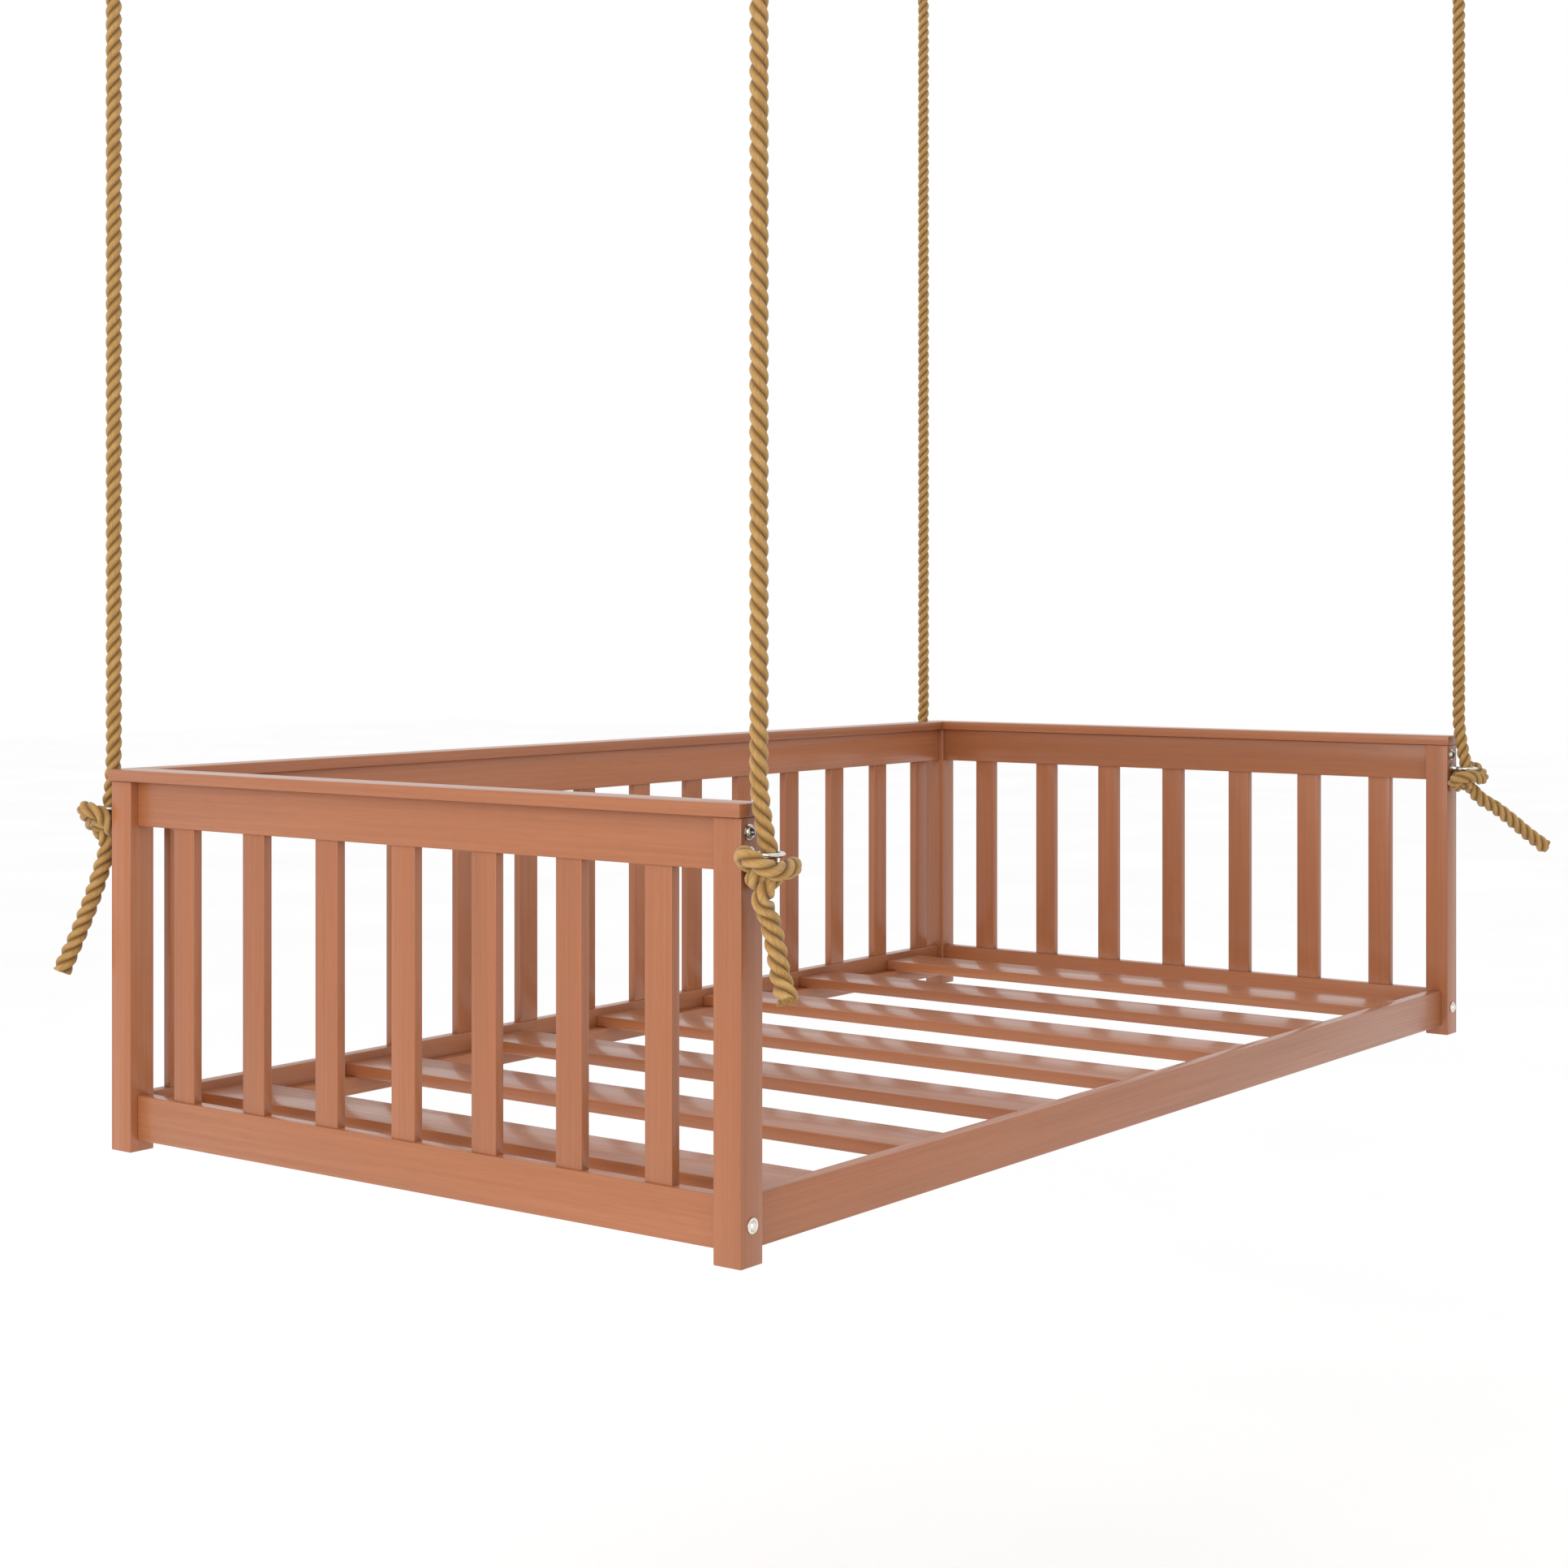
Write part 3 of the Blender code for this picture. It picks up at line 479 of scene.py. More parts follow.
# ---------------------------------------------------------------- ropes
def corner_places(corner, side_y):
    """The corner's hang point, link, neck and ring heights, its post and its ring's centre."""
    rope_low, rope_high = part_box(f"rope_{corner}")
    post_low, post_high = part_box(f"post_{corner}")
    ring = box_middle(f"eye_bolt_{corner}")
    face = post_low[1] if side_y < 0 else post_high[1]
    ring.y = face + side_y * RING_OUT
    return {
        "hang": Vector(((rope_low[0] + rope_high[0]) / 2, (rope_low[1] + rope_high[1]) / 2, 0)),
        "link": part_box(f"quick_link_{corner}")[0][2] + WIRE,
        "neck": rope_low[2] + ROUND_BELOW_NECK,
        "ring": ring,
        "post": (post_low[0] + post_high[0]) / 2,
        "face": face,
    }


def rope_controls(corner, side_y):
    """The points down the whole rope, and where each stretch of it starts."""
    at = corner_places(corner, side_y)
    hang = at["hang"]
    throat = at["link"] - THROAT_BELOW_LINK
    crown = at["link"] + WIRE + GAP + ROPE_RADIUS
    middle = crown - ROPE_EYE_RADIUS
    points = [hang + Vector((0, across, throat + up)) for across, up in BACK_LEG]
    crown_at = len(points) + EYE_STEPS // 2
    for step in range(EYE_STEPS + 1):
        angle = math.pi * (1 - step / EYE_STEPS)
        points.append(hang + Vector((
            0, ROPE_EYE_RADIUS * math.cos(angle), middle + ROPE_EYE_RADIUS * math.sin(angle))))
    points += [hang + Vector((0, across, throat + up)) for across, up in FRONT_LEG]
    top = throat - STRAIGHT_TOP
    low = at["neck"] + STRAIGHT_LOW
    count = round((top - low) / STRAIGHT_STEP)
    for i in range(count + 1):
        points.append(Vector((hang.x, hang.y, top + (low - top) * i / count)))
    ring = at["ring"]
    for down, out in NECK_ROUTE:
        points.append(Vector((
            hang.x + (ring.x - hang.x) * out, hang.y + (ring.y - hang.y) * out,
            at["neck"] + (ring.z - at["neck"]) * down)))
    ring_at = len(points) - 1
    side, reach, lift, wide, rise, leaving = KNOTS[corner]
    route = []
    for across, out, up in KNOT_TURN:
        beyond = max(0.0, out - RING_OUT)
        on_wide_side = across > WIDE_SIDE
        route.append((across * (wide if on_wide_side else 1), out + beyond * (reach - 1),
                      up + beyond * lift + (rise if on_wide_side else 0)))
    for across, out, up in route + list(leaving):
        points.append(Vector((
            ring.x + side * across, at["face"] + side_y * out, ring.z + up)))
    tail_at = len(points) - 1
    for across, out, up in TAIL_ROUTES[corner]:
        points.append(Vector((
            at["post"] + across, at["face"] + side_y * (KNOT_OUT + out),
            ring.z - TAIL_TOP_BELOW_RING + up)))
    return points, (crown_at, ring_at, tail_at)


def smooth_line(points, marks):
    """Stretches of a Catmull-Rom curve through the points, split at the marks, each with
    evenly spaced places along it."""
    ends = [2 * points[0] - points[1]] + points + [2 * points[-1] - points[-2]]
    stretches = []
    fine = [points[0]]
    for i in range(len(points) - 1):
        before, start, stop, after = ends[i:i + 4]
        for step in range(1, CURVE_STEPS + 1):
            t = step / CURVE_STEPS
            fine.append(0.5 * (
                2 * start + (stop - before) * t
                + (2 * before - 5 * start + 4 * stop - after) * t * t
                + (3 * start - before - 3 * stop + after) * t ** 3))
        if i + 1 in marks or i + 1 == len(points) - 1:
            stretches.append(evenly(fine, RING_SPACING))
            fine = [fine[-1]]
    return stretches


def evenly(line, spacing):
    """Places along the line, evenly spaced, both ends kept."""
    lengths = [0.0]
    for first, second in zip(line, line[1:]):
        lengths.append(lengths[-1] + (second - first).length)
    count = max(2, round(lengths[-1] / spacing))
    places = []
    i = 0
    for step in range(count + 1):
        along = lengths[-1] * step / count
        while i < len(line) - 2 and lengths[i + 1] < along:
            i += 1
        span = max(lengths[i + 1] - lengths[i], 1e-9)
        share = min(1.0, max(0.0, (along - lengths[i]) / span))
        places.append(line[i].lerp(line[i + 1], share))
    return places


def travelling_frames(line):
    """Tangent, side and third direction at each place, without twist, and the length so
    far."""
    frames = []
    side = None
    length = 0.0
    for i, place in enumerate(line):
        ahead = line[min(i + 1, len(line) - 1)]
        behind = line[max(i - 1, 0)]
        along = (ahead - behind).normalized()
        if side is None:
            side = along.orthogonal()
        side = (side - along * side.dot(along)).normalized()
        if i:
            length += (place - line[i - 1]).length
        frames.append((place, along, side, along.cross(side), length))
    return frames


def strand_outline(look):
    """Angles and radii round the rope's section, three strands with grooves between."""
    reach = look.rope_diameter / 2 * look.strand_share
    strand = look.rope_diameter / 2 - reach
    outline = []
    for third in range(3):
        for degrees in STRAND_ANGLES:
            angle = math.radians(degrees)
            inside = max(0.0, strand * strand - (reach * math.sin(angle)) ** 2)
            radius = reach * math.cos(angle) + math.sqrt(inside)
            outline.append((angle + third * 2 * math.pi / 3, radius))
    return outline


def laid_rope(name, frames, look, lay, cut_end=False):
    """A stretch of three-strand rope along the frames, closed at both ends. A cut end is flat
    and its strands open a little before it."""
    outline = strand_outline(look)
    full = look.rope_diameter / 2
    low = min(radius for angle, radius in outline)
    count = len(outline)
    rings = []
    for place, along, side, third, length in frames:
        turn = lay * 2 * math.pi * length / look.lay_length
        to_end = frames[-1][4] - length
        wide = 1.0
        if cut_end:
            wide += look.tail_swell * min(1.0, (length - frames[0][4]) / SWELL_LENGTH)
            wide += look.end_flare * max(0.0, 1 - to_end / FLARE_LENGTH) ** 2
        rings.append((place, side, third, turn, length, wide))
    for end, sign in ((0, -1), (-1, 1)):
        place, along, side, third, length = frames[end]
        turn = lay * 2 * math.pi * length / look.lay_length
        closing = ROUND_END
        if cut_end and end == -1:
            closing = [(onward, wide * (1 + look.tail_swell + look.end_flare))
                       for onward, wide in CUT_END]
        extra = [(place + along * sign * full * onward * END_REACH, side, third, turn, length,
                  wide) for onward, wide in closing]
        rings = list(reversed(extra)) + rings if end == 0 else rings + extra
    verts = []
    coords = []
    groove_shade_depths = []
    for place, side, third, turn, length, wide in rings:
        for angle, radius in outline:
            around = angle + turn
            out = side * math.cos(around) + third * math.sin(around)
            verts.append(place + out * radius * wide)
            coords.append((around * full, length))
            groove_shade_depths.append((full - radius) / (full - low))
    faces = []
    corners = []
    last = len(rings) - 1
    for r in range(last):
        for k in range(count):
            n = (k + 1) % count
            faces.append((r * count + k, r * count + n, (r + 1) * count + n, (r + 1) * count + k))
            wrap = 2 * math.pi * full if n == 0 else 0.0
            corners.append((0.0, wrap, wrap, 0.0))
    faces.append(tuple(range(count - 1, -1, -1)))
    corners.append((0.0,) * count)
    faces.append(tuple(last * count + k for k in range(count)))
    corners.append((0.0,) * count)
    mesh = bpy.data.meshes.new(name)
    mesh.from_pydata(verts, [], faces)
    lay_map = mesh.uv_layers.new(name="lay")
    loop = 0
    for face, wraps in zip(faces, corners):
        for vertex, wrap in zip(face, wraps):
            lay_map.data[loop].uv = (coords[vertex][0] + wrap, coords[vertex][1])
            loop += 1
    # Each place's depth between the strands, which the rope's material turns into painted shade.
    depth = mesh.attributes.new("groove", "FLOAT", "POINT")
    depth.data.foreach_set("value", groove_shade_depths)
    mesh.polygons.foreach_set("use_smooth", [True] * len(faces))
    mesh.materials.append(finish("rope"))
    if cut_end:
        mesh.materials.append(finish("cut"))
        cut_from = (last - 2) * count       # the last three rings are the cut itself
        for face in mesh.polygons:
            if all(vertex >= cut_from for vertex in face.vertices):
                face.material_index = 1
                face.use_smooth = False
    mesh.update()
    piece = bpy.data.objects.new(name, mesh)
    bpy.context.scene.collection.objects.link(piece)
    return piece


def wire(name, points, radius, roundness, closed=False):
    """A round wire through the points, made a mesh."""
    curve = bpy.data.curves.new(name, "CURVE")
    curve.dimensions = "3D"
    curve.bevel_depth = radius
    curve.bevel_resolution = roundness
    curve.use_fill_caps = True
    spline = curve.splines.new("POLY")
    spline.points.add(len(points) - 1)
    spline.use_cyclic_u = closed
    for point, place in zip(spline.points, points):
        point.co = (*place, 1)
    made = bpy.data.objects.new(name, curve)
    bpy.context.scene.collection.objects.link(made)
    pick(made)
    bpy.ops.object.convert(target="MESH")
    return bpy.context.object


def twine_binding(name, axis, centre_z):
    """Turns of twine round the two legs of a rope's eye, bound tight."""
    reach = ROPE_RADIUS * TWINE_BITE + TWINE_RADIUS
    steps = TWINE_TURNS * TWINE_STEPS
    line = []
    for step in range(steps + 1):
        angle = 2 * math.pi * step / TWINE_STEPS
        across = math.cos(angle)
        out = math.sin(angle)
        side = math.copysign(min(1.0, abs(across) * TWINE_CORNER), across) * LEG
        up = (step / steps - 0.5) * TWINE_TURNS * TWINE_RADIUS * TWINE_PITCH
        line.append(Vector((
            axis.x + reach * out,
            axis.y + side + reach * across,
            centre_z + up)))
    piece = wire(name, line, TWINE_RADIUS, 2)
    piece.name = name
    piece.data.name = name
    bpy.ops.object.shade_smooth()
    piece.data.materials.clear()
    piece.data.materials.append(finish("twine"))
    return piece


class DAYBED_OT_ropes(bpy.types.Operator):
    """Lay the four ropes, with their eyes, bindings, stopper knots and tails"""
    bl_idname = "daybed.ropes"
    bl_label = "Ropes"

    def execute(self, context):
        look = context.scene.daybed_look
        for corner, (side_y, lay) in CORNERS.items():
            points, marks = rope_controls(corner, side_y)
            at = corner_places(corner, side_y)
            back_leg, rope, knot, tail = smooth_line(points, marks)
            frames = travelling_frames(back_leg + rope[1:] + knot[1:] + tail[1:])
            cuts = [0, len(back_leg) - 1]
            for stretch in (rope, knot, tail):
                cuts.append(cuts[-1] + len(stretch) - 1)
            parts = [frames[a:b + 1] for a, b in zip(cuts, cuts[1:])]
            leg_piece = laid_rope(f"eye_leg_{corner}", parts[0], look, lay)
            rope_piece = laid_rope(f"laid_rope_{corner}", parts[1], look, lay)
            knot_piece = laid_rope(f"stopper_knot_{corner}", parts[2], look, lay)
            tail_piece = laid_rope(f"tail_{corner}", parts[3], look, lay, cut_end=True)
            throat = at["link"] - THROAT_BELOW_LINK
            binding = twine_binding(
                f"eye_binding_{corner}", at["hang"], throat - TWINE_BELOW_THROAT)
            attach(leg_piece, f"rope_{corner}")
            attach(binding, f"rope_{corner}")
            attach(knot_piece, "bed")
            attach(tail_piece, "bed")
            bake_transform(rope_piece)
            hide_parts(f"rope_{corner}", f"rope_neck_{corner}")
            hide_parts(f"rope_knot_{corner}")
            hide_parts(f"rope_tail_{corner}")
        return {"FINISHED"}


# ---------------------------------------------------------------- boards
FLOOR_SLATS = 7
SLAT_TENON = 0.002           # the upright slats' ends go this far into their rails

# Each panel: node, the axis it runs along, its count of upright slats, the axis through its
# thickness, and the setting with its first slat's distance from the post.
PANELS = (
    ("end_panel_left", 1, 7, 0, "end_slat_margin"),
    ("end_panel_right", 1, 7, 0, "end_slat_margin"),
    ("back_panel", 0, 14, 1, "back_slat_margin"),
)


def board(name, low, high, axis, edge, tone):
    """A sawn board with eased edges, its grain along the axis."""
    low, high = Vector(low), Vector(high)
    clear_selection()
    bpy.ops.mesh.primitive_cube_add(size=1, location=(low + high) / 2)
    made = bpy.context.object
    made.name = name
    made.scale = high - low
    bpy.ops.object.transform_apply(location=False, rotation=False, scale=True)
    ease_edges(edge)
    tones = made.data.attributes.new("board_tone", "FLOAT", "POINT")
    tones.data.foreach_set("value", [tone] * len(made.data.vertices))
    made.data.materials.clear()
    made.data.materials.append(finish("timber_" + "xyz"[axis]))
    return made


def toned_copy(piece, offset, tone):
    """A copy of a board with its own tone."""
    made = copy_of(piece, offset)
    tones = made.data.attributes["board_tone"]
    tones.data.foreach_set("value", [tone] * len(made.data.vertices))
    return made


class DAYBED_OT_boards(bpy.types.Operator):
    """Saw and ease every board: posts, cap boards, rails, slats and floor"""
    bl_idname = "daybed.boards"
    bl_label = "Boards"

    def execute(self, context):
        size = context.scene.daybed_sizes
        pick_tone = random.Random(11)
        edge = size.board_edge

        def carried(node, axis, ease=edge):
            low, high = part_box(node)
            made = join(f"{node}_board", [board(node, low, high, axis, ease, pick_tone.random())])
            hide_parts(node)
            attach(made, "bed")

        for corner in CORNERS:
            carried(f"post_{corner}", 2, size.post_edge)
        carried("cap_left", 1, size.post_edge)
        carried("cap_right", 1, size.post_edge)
        carried("cap_back", 0, size.post_edge)
        carried("front_rail", 0)
        carried("cleat_front", 0)
        carried("cleat_back", 0)
        for i in range(FLOOR_SLATS):
            carried(f"floor_slat_{i + 1}", 1, size.post_edge)
        for node, axis, count, thick_axis, margin_setting in PANELS:
            low, high = (Vector(place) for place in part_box(node))
            margin = getattr(size, margin_setting)
            rail = size.rail_height
            bottom = board("rail", low, (high.x, high.y, low.z + rail), axis, edge,
                           pick_tone.random())
            top = board("rail", (low.x, low.y, high.z - rail), high, axis, edge,
                        pick_tone.random())
            first_low = Vector(low)
            first_high = Vector(high)
            middle = (low[thick_axis] + high[thick_axis]) / 2
            first_low[thick_axis] = middle - size.slat_thickness / 2
            first_high[thick_axis] = middle + size.slat_thickness / 2
            first_low.z = low.z + rail - SLAT_TENON
            first_high.z = high.z - rail + SLAT_TENON
            first_low[axis] = low[axis] - GAP + margin
            first_high[axis] = first_low[axis] + size.slat_width
            last = high[axis] + GAP - margin - size.slat_width
            pitch = (last - first_low[axis]) / (count - 1)
            slat = board("slat", first_low, first_high, 2, edge, pick_tone.random())
            pieces = [bottom, top, slat]
            for i in range(1, count):
                offset = Vector((0, 0, 0))
                offset[axis] = pitch * i
                pieces.append(toned_copy(slat, offset, pick_tone.random()))
            made = join(f"{node}_boards", pieces)
            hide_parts(node)
            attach(made, "bed")
        return {"FINISHED"}


# ---------------------------------------------------------------- fittings
def turned(name, rings, sides, place, side_y):
    """A round piece from rings of distance out of the posts' face and radius, first to last."""
    clear_selection()
    bpy.ops.mesh.primitive_circle_add(
        vertices=sides, radius=rings[0][1], fill_type="NGON", location=(0, 0, 0))
    made = bpy.context.object
    made.name = name
    bpy.ops.object.mode_set(mode="EDIT")
    bpy.ops.mesh.select_all(action="SELECT")
    for (before, wide), (along, radius) in zip(rings, rings[1:]):
        bpy.ops.mesh.extrude_region_move(
            TRANSFORM_OT_translate={"value": (0, 0, along - before)})
        bpy.ops.transform.resize(
            value=(radius / wide, radius / wide, 1), center_override=(0, 0, along - rings[0][0]))
    bpy.ops.mesh.select_all(action="SELECT")
    bpy.ops.mesh.normals_make_consistent(inside=False)
    bpy.ops.object.mode_set(mode="OBJECT")
    bpy.ops.object.shade_smooth_by_angle(angle=math.radians(32))
    bpy.ops.transform.rotate(
        value=side_y * math.pi / 2, orient_axis="X", center_override=(0, 0, 0))
    made.location = Vector(place) + Vector((0, side_y * rings[0][0], 0))
    settle(made)
    return made


def bent_bar(name, points, closed=False):
    """Steel wire of the hoops' and links' thickness, bent through the points."""
    made = wire(name, points, WIRE, 6, closed)
    bpy.ops.object.shade_smooth_by_angle(angle=math.radians(40))
    return made


def arc(centre, across, up, radius, start, stop, count):
    """Points along an arc in the plane of two directions, angles in degrees."""
    points = []
    for step in range(count + 1):
        angle = math.radians(start + (stop - start) * step / count)
        points.append(centre + across * radius * math.cos(angle) + up * radius * math.sin(angle))
    return points


def six_sided(name, sizes, place):
    """A six-sided nut or screw head, its corners eased."""
    radius, height, edge = sizes
    clear_selection()
    bpy.ops.mesh.primitive_cylinder_add(vertices=6, radius=radius, depth=height, location=place)
    made = bpy.context.object
    made.name = name
    ease_edges(edge, segments=2, profile=0.6, angle=30)
    return made


def fitting(pieces, name, node, body, steel):
    """Join a fitting's pieces, give them their plating and put them on their body."""
    made = join(name, pieces)
    made.data.materials.clear()
    made.data.materials.append(finish(steel))
    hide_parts(node)
    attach(made, body)


# A bolt, as rings of distance out of the posts' face and radius: shank, washer with a raised
# rim, domed head and its round socket.
BOLT_RINGS = (
    (-0.0250, 0.0032), (-0.0240, 0.0040), (0.0003, 0.0040), (0.0003, 0.0090), (0.0006, 0.0092),
    (0.0014, 0.0092), (0.0018, 0.0088), (0.0018, 0.0078), (0.0014, 0.0074), (0.0018, 0.0073),
    (0.0034, 0.0073), (0.0046, 0.0068), (0.0056, 0.0058), (0.0061, 0.0046), (0.0062, 0.0040),
    (0.0058, 0.0037), (0.0034, 0.0036), (0.0034, 0.0018), (0.0037, 0.0006),
)

# A flanged cap over the lower bolts: flat flange, groove and a raised round button.
CAP_RINGS = (
    (-0.0250, 0.0032), (-0.0240, 0.0040), (0.0003, 0.0040), (0.0003, 0.0090), (0.0006, 0.0092),
    (0.0016, 0.0091), (0.0021, 0.0086), (0.0022, 0.0068), (0.0018, 0.0062), (0.0020, 0.0057),
    (0.0040, 0.0055), (0.0048, 0.0050), (0.0050, 0.0043), (0.0044, 0.0037), (0.0040, 0.0024),
    (0.0041, 0.0008),
)

# The ring bolt's shank: thread, collar and neck up to the ring.
SHANK_RINGS = (
    (-0.0300, 0.0022), (-0.0285, 0.0034), (0.0003, 0.0034), (0.0003, 0.0070), (0.0007, 0.0075),
    (0.0023, 0.0075), (0.0028, 0.0070), (0.0028, 0.0046), (0.0045, 0.0037), (0.0080, 0.0033),
    (0.0126, 0.0030),
)


# The ceiling plate with its hoop and two screws, and the quick link with its nut.
PLATE_THICK = 0.006
PLATE_EDGE = 0.0016
HOOP_BEND = 0.016
HOOP_LEG = 0.019             # straight part of each of the hoop's legs
SCREW_HEAD = (0.0062, 0.0044, 0.0004)       # radius, height and eased edge
SCREW_OUT = 0.031            # the screws' middles out from the hoop's
SCREW_DOWN = 0.0080          # and down from the ceiling
LINK_BEND = 0.017
LINK_NUT = (0.0068, 0.016, 0.0006)          # radius, height and eased edge


class DAYBED_OT_fittings(bpy.types.Operator):
    """Turn the bolts and ring bolts, bend the hoops and quick links, cut the ceiling plates"""
    bl_idname = "daybed.fittings"
    bl_label = "Fittings"

    def execute(self, context):
        across, along, up = Vector((1, 0, 0)), Vector((0, 1, 0)), Vector((0, 0, 1))
        for corner, (side_y, _) in CORNERS.items():
            at = corner_places(corner, side_y)
            for which, rings, steel in (("upper", BOLT_RINGS, "chrome"),
                                        ("lower", CAP_RINGS, "nickel")):
                node = f"bolt_{which}_{corner}"
                middle = box_middle(node)
                bolt = turned("bolt", rings, 48, (middle.x, at["face"], middle.z), side_y)
                fitting([bolt], f"{node}_turned", node, "bed", steel)

            ring = at["ring"]
            shank = turned("shank", SHANK_RINGS, 32, (ring.x, at["face"], ring.z), side_y)
            clear_selection()
            bpy.ops.mesh.primitive_torus_add(
                major_segments=64, minor_segments=20, major_radius=RING_RADIUS,
                minor_radius=RING_WIRE, location=ring)
            loop = bpy.context.object
            bpy.ops.object.shade_smooth()
            fitting([shank, loop], f"ring_bolt_{corner}", f"eye_bolt_{corner}", "bed", "zinc")

            hang = at["hang"]
            low, high = (Vector(place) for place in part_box(f"pad_eye_{corner}"))
            plate_low = Vector((low.x, low.y, -PLATE_THICK))
            clear_selection()
            bpy.ops.mesh.primitive_cube_add(size=1, location=(plate_low + high) / 2)
            plate = bpy.context.object
            plate.scale = high - plate_low
            settle(plate)
            ease_edges(PLATE_EDGE)
            bend = Vector((hang.x, hang.y, low.z + WIRE + HOOP_BEND))
            hoop = bent_bar("hoop", [bend + Vector((0, -HOOP_BEND, HOOP_LEG)),
                                     *arc(bend, along, up, HOOP_BEND, -180, 0, 28),
                                     bend + Vector((0, HOOP_BEND, HOOP_LEG))])
            screws = [six_sided("screw", SCREW_HEAD, hang + Vector((0, y, -SCREW_DOWN)))
                      for y in (-SCREW_OUT, SCREW_OUT)]
            fitting([plate, hoop, *screws], f"ceiling_plate_{corner}", f"pad_eye_{corner}",
                    "ceiling", "zinc")

            low, high = (Vector(place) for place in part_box(f"quick_link_{corner}"))
            top = Vector((hang.x, hang.y, high.z - WIRE - LINK_BEND))
            bottom = Vector((hang.x, hang.y, low.z + WIRE + LINK_BEND))
            link = bent_bar("link", arc(top, across, up, LINK_BEND, 0, 180, 24)
                            + arc(bottom, across, up, LINK_BEND, 180, 360, 24), closed=True)
            nut = six_sided("nut", LINK_NUT,
                            (top + bottom) / 2 + Vector((LINK_BEND, 0, 0)))
            fitting([link, nut], f"link_{corner}", f"quick_link_{corner}", f"link_{corner}",
                    "zinc")
        return {"FINISHED"}


# ---------------------------------------------------------------- stage
CAMERA_PLACE = (-3.2894, -2.2971, -1.5203)
CAMERA_TURN = -53.2235       # degrees about the upright, from facing along +Y
SENSOR_WIDTH = 36            # millimetres
VIEW_END = 200               # metres
FLOOR_SIDE = 60              # metres

# The two lights: place, point looked at, and size.
KEY_LIGHT = ((-4.4, -0.5, -0.7), (-1.0, 0, -2.0), (2.4, 2.4))
TOP_LIGHT = ((0.6, -0.4, 2.6), (0, 0, -2.0), (4.0, 3.0))


def area_light(name, place, aim, size, power, tint):
    """A soft rectangular light that looks at a point."""
    light = bpy.data.lights.new(name, "AREA")
    light.shape = "RECTANGLE"
    light.size, light.size_y = size
    light.energy = power
    light.color = tint[:3]
    made = bpy.data.objects.new(name, light)
    bpy.context.scene.collection.objects.link(made)
    made.location = place
    made.rotation_euler = (Vector(aim) - Vector(place)).to_track_quat("-Z", "Y").to_euler()
    return made


class DAYBED_OT_stage(bpy.types.Operator):
    """Set the pale floor, the soft lights and the camera"""
    bl_idname = "daybed.stage"
    bl_label = "Stage"

    def execute(self, context):
        stage = context.scene.daybed_stage
        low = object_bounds()[0]
        clear_selection()
        bpy.ops.mesh.primitive_plane_add(
            size=FLOOR_SIDE, location=(0, 0, low.z - stage.floor_gap))
        floor = bpy.context.object
        floor.name = "stage_floor"
        settle(floor)
        floor.data.materials.append(finish("floor"))
        floor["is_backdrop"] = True
        world = bpy.data.worlds.new("studio")
        context.scene.world = world
        world.use_nodes = True
        sky = world.node_tree.nodes["Background"]
        sky.inputs["Color"].default_value = colour("#FFFFFF")
        sky.inputs["Strength"].default_value = stage.fill
        area_light("key_light", *KEY_LIGHT, stage.key, colour("#FFF6EC"))
        area_light("top_light", *TOP_LIGHT, stage.top, colour("#FFFFFF"))
        view = bpy.data.cameras.new("view")
        view.sensor_width = SENSOR_WIDTH
        view.lens = stage.lens
        view.shift_y = stage.shift
        view.clip_end = VIEW_END
        camera = bpy.data.objects.new("view", view)
        context.scene.collection.objects.link(camera)
        camera.location = CAMERA_PLACE
        camera.rotation_euler = (math.radians(90), 0, math.radians(CAMERA_TURN))
        context.scene.camera = camera
        context.scene.view_settings.view_transform = "Standard"
        return {"FINISHED"}


# ---------------------------------------------------------------- settings
def tint_property(name, description, code):
    """A colour setting with an sRGB default."""
    return FloatVectorProperty(
        name=name, description=description, subtype="COLOR", size=3, min=0.0, max=1.0,
        default=colour(code)[:3])


def length_property(name, description, metres):
    """A length setting in metres."""
    return FloatProperty(
        name=name, description=description, default=metres, min=0.0, unit="LENGTH",
        precision=4)


class DaybedLook(bpy.types.PropertyGroup):
    """Rope lay, colours and gloss."""
    rope_diameter: length_property("Rope diameter", "Over the three strands", 0.022)
    lay_length: length_property("Lay length", "Rope length for one full turn of a strand", 0.0525)
    strand_share: FloatProperty(
        name="Strand share", description="Strand's middle out from the rope's middle, "
        "as a share of the rope's radius", default=0.47, min=0.3, max=0.6)
    rope_body: tint_property("Rope", "Manila in shade", "#B28A4A")
    rope_light: tint_property("Rope, sunlit", "Manila in light", "#C49E60")
    # Painted shade deep between the rope's strands, and the darker brown of the twine's mottling
    # and of the cut ends' fibres.
    rope_brown_and_groove_shade: tint_property("Rope grooves", "Deep between strands", "#7A5614")
    end_flare: FloatProperty(
        name="Cut end's flare", description="How far the strands open at a cut end, as a share "
        "of the rope's radius", default=0.12, min=0.0, max=0.4)
    tail_swell: FloatProperty(
        name="Tails' swell", description="How much looser the free tails are laid, as a share "
        "of the rope's radius", default=0.12, min=0.0, max=0.2)
    timber_light: tint_property("Timber, pale", "Pale bands of the grain", "#AB6B45")
    timber_dark: tint_property("Timber, dark", "Dark bands of the grain", "#9E623D")
    timber_roughness: FloatProperty(
        name="Timber gloss", description="Roughness of the satin finish", default=0.38,
        min=0.1, max=1.0)
    floor_colour: tint_property("Floor", "Studio floor", "#FCFCFC")


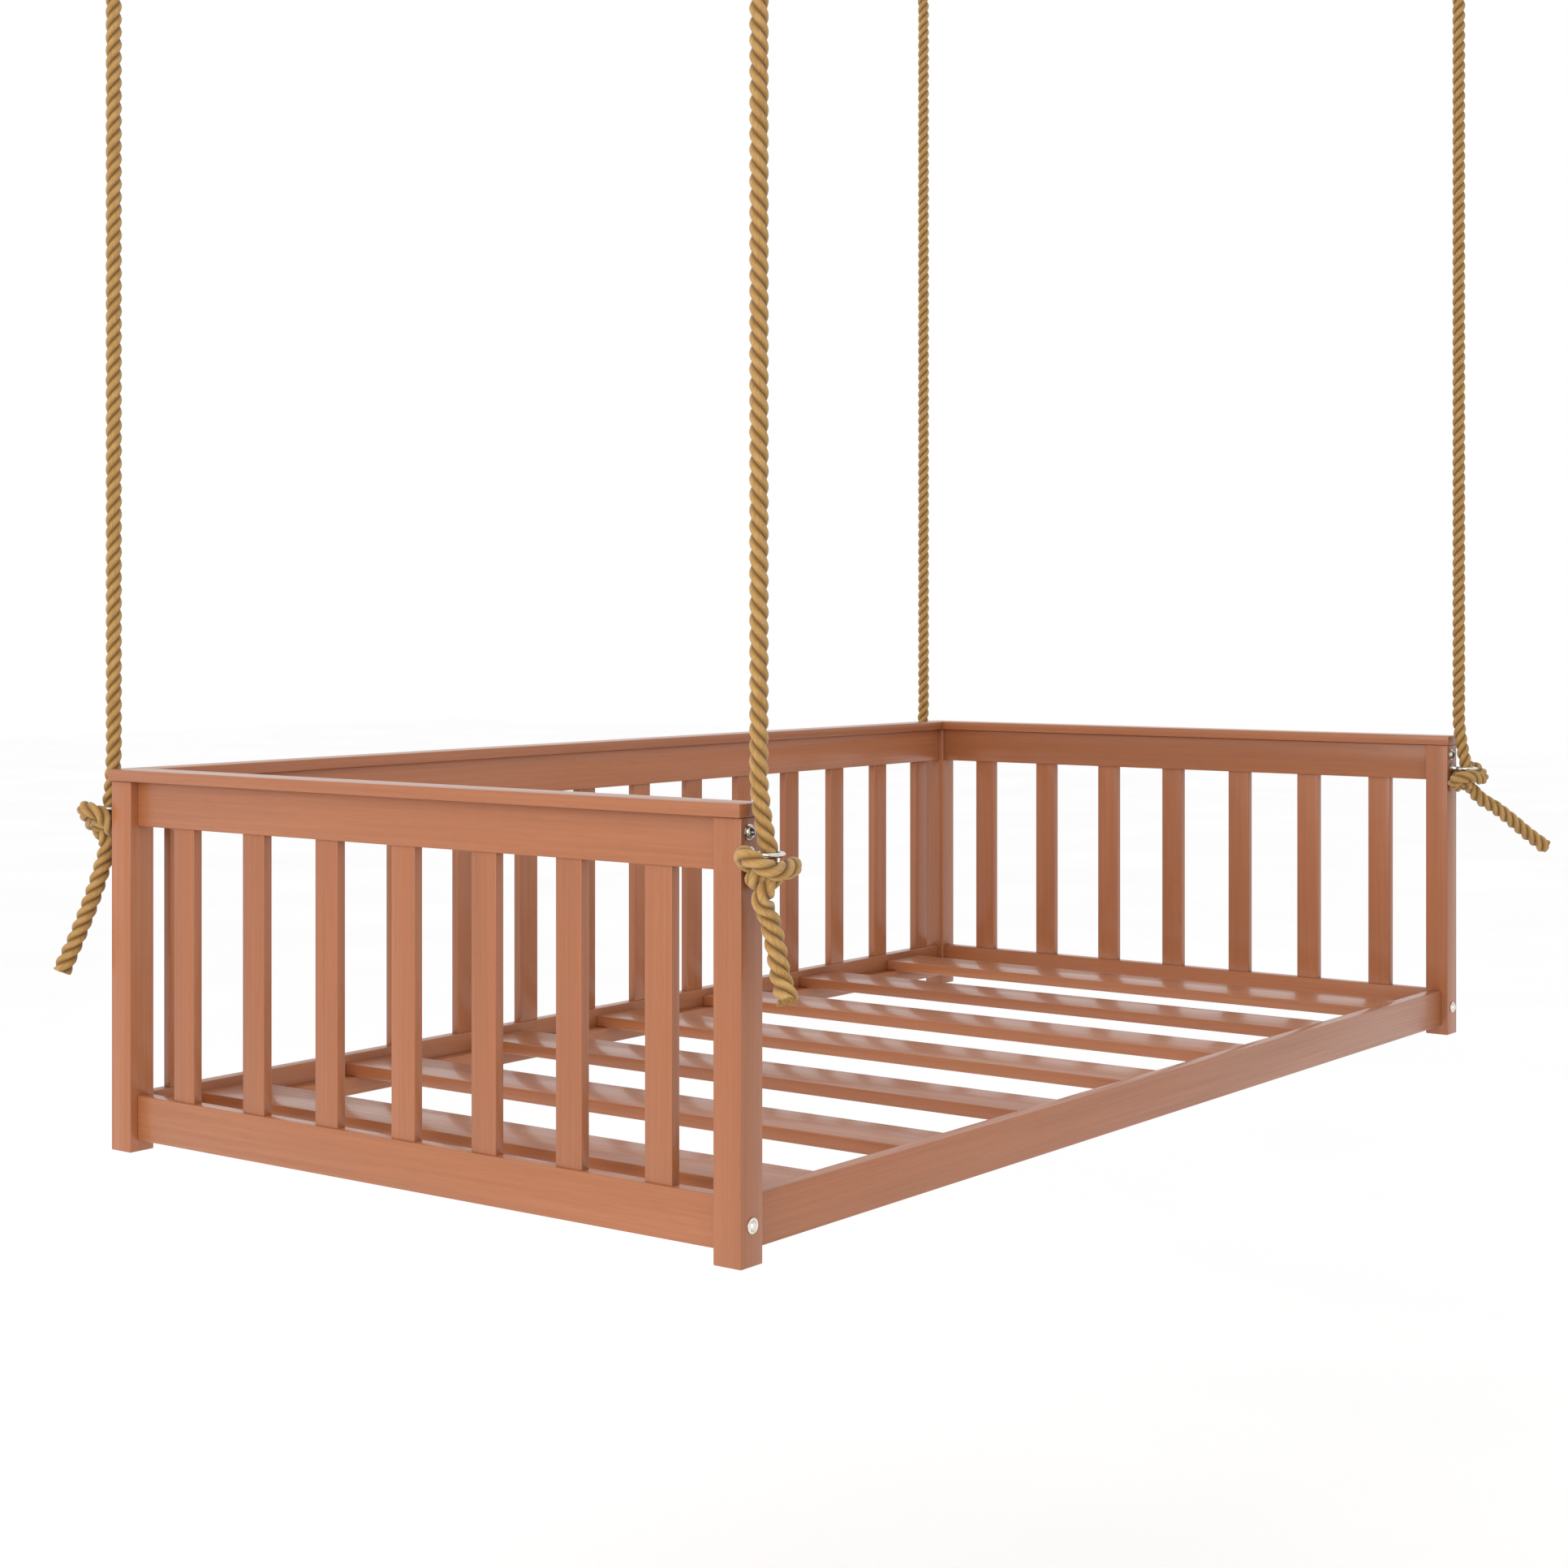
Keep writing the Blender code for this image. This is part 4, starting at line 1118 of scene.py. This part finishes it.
class DaybedSizes(bpy.types.PropertyGroup):
    """Board sizes that the boxes of the frame don't hold."""
    board_edge: length_property("Board edge", "Eased edge of rails and slats", 0.0012)
    post_edge: length_property("Post edge", "Eased edge of posts and cap boards", 0.0014)
    rail_height: length_property("Rail height", "Top and bottom rails", 0.061)
    slat_width: length_property("Slat width", "Upright slats", 0.041)
    slat_thickness: length_property("Slat thickness", "Upright slats", 0.014)
    end_slat_margin: length_property("End margin", "Post to the first end slat", 0.0715)
    back_slat_margin: length_property("Back margin", "Post to the first back slat", 0.038)


class DaybedStage(bpy.types.PropertyGroup):
    """Studio floor, lights and lens."""
    floor_gap: length_property("Floor gap", "Bed's feet above the floor", 1.10)
    fill: FloatProperty(name="Fill", description="Strength of the all-round light", default=1.0)
    key: FloatProperty(name="Key", description="Watts of the side light", default=66.0)
    top: FloatProperty(name="Top", description="Watts of the overhead light", default=12.0)
    lens: FloatProperty(name="Lens", description="Focal length in millimetres", default=59.0)
    shift: FloatProperty(name="Shift", description="Lens shift upwards", default=-0.1071)


class DAYBED_PT_panel(bpy.types.Panel):
    """Lists the daybed's settings and its pieces"""
    bl_label = "Hanging Daybed"
    bl_idname = "DAYBED_PT_panel"
    bl_space_type = "VIEW_3D"
    bl_region_type = "UI"
    bl_category = "Daybed"

    def draw(self, context):
        for group in (context.scene.daybed_look, context.scene.daybed_sizes,
                      context.scene.daybed_stage):
            for name in group.bl_rna.properties.keys():
                if name not in {"rna_type", "name"}:
                    self.layout.prop(group, name)
        for kind in OPERATORS:
            self.layout.operator(kind.bl_idname)


OPERATORS = (DAYBED_OT_ropes, DAYBED_OT_boards, DAYBED_OT_fittings, DAYBED_OT_stage)
GROUPS = (DaybedLook, DaybedSizes, DaybedStage)


def register():
    """Register the settings, the operators and the panel."""
    for kind in (*GROUPS, *OPERATORS, DAYBED_PT_panel):
        bpy.utils.register_class(kind)
    bpy.types.Scene.daybed_look = PointerProperty(type=DaybedLook)
    bpy.types.Scene.daybed_sizes = PointerProperty(type=DaybedSizes)
    bpy.types.Scene.daybed_stage = PointerProperty(type=DaybedStage)


def unregister():
    """Take the panel, the operators and the settings away again."""
    del bpy.types.Scene.daybed_stage
    del bpy.types.Scene.daybed_sizes
    del bpy.types.Scene.daybed_look
    for kind in reversed((*GROUPS, *OPERATORS, DAYBED_PT_panel)):
        bpy.utils.unregister_class(kind)


def main():
    """Build every piece over the frame."""
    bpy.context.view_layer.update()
    register()
    bpy.ops.daybed.ropes()
    bpy.ops.daybed.boards()
    bpy.ops.daybed.fittings()
    bpy.ops.daybed.stage()


if __name__ == "__main__":
    main()
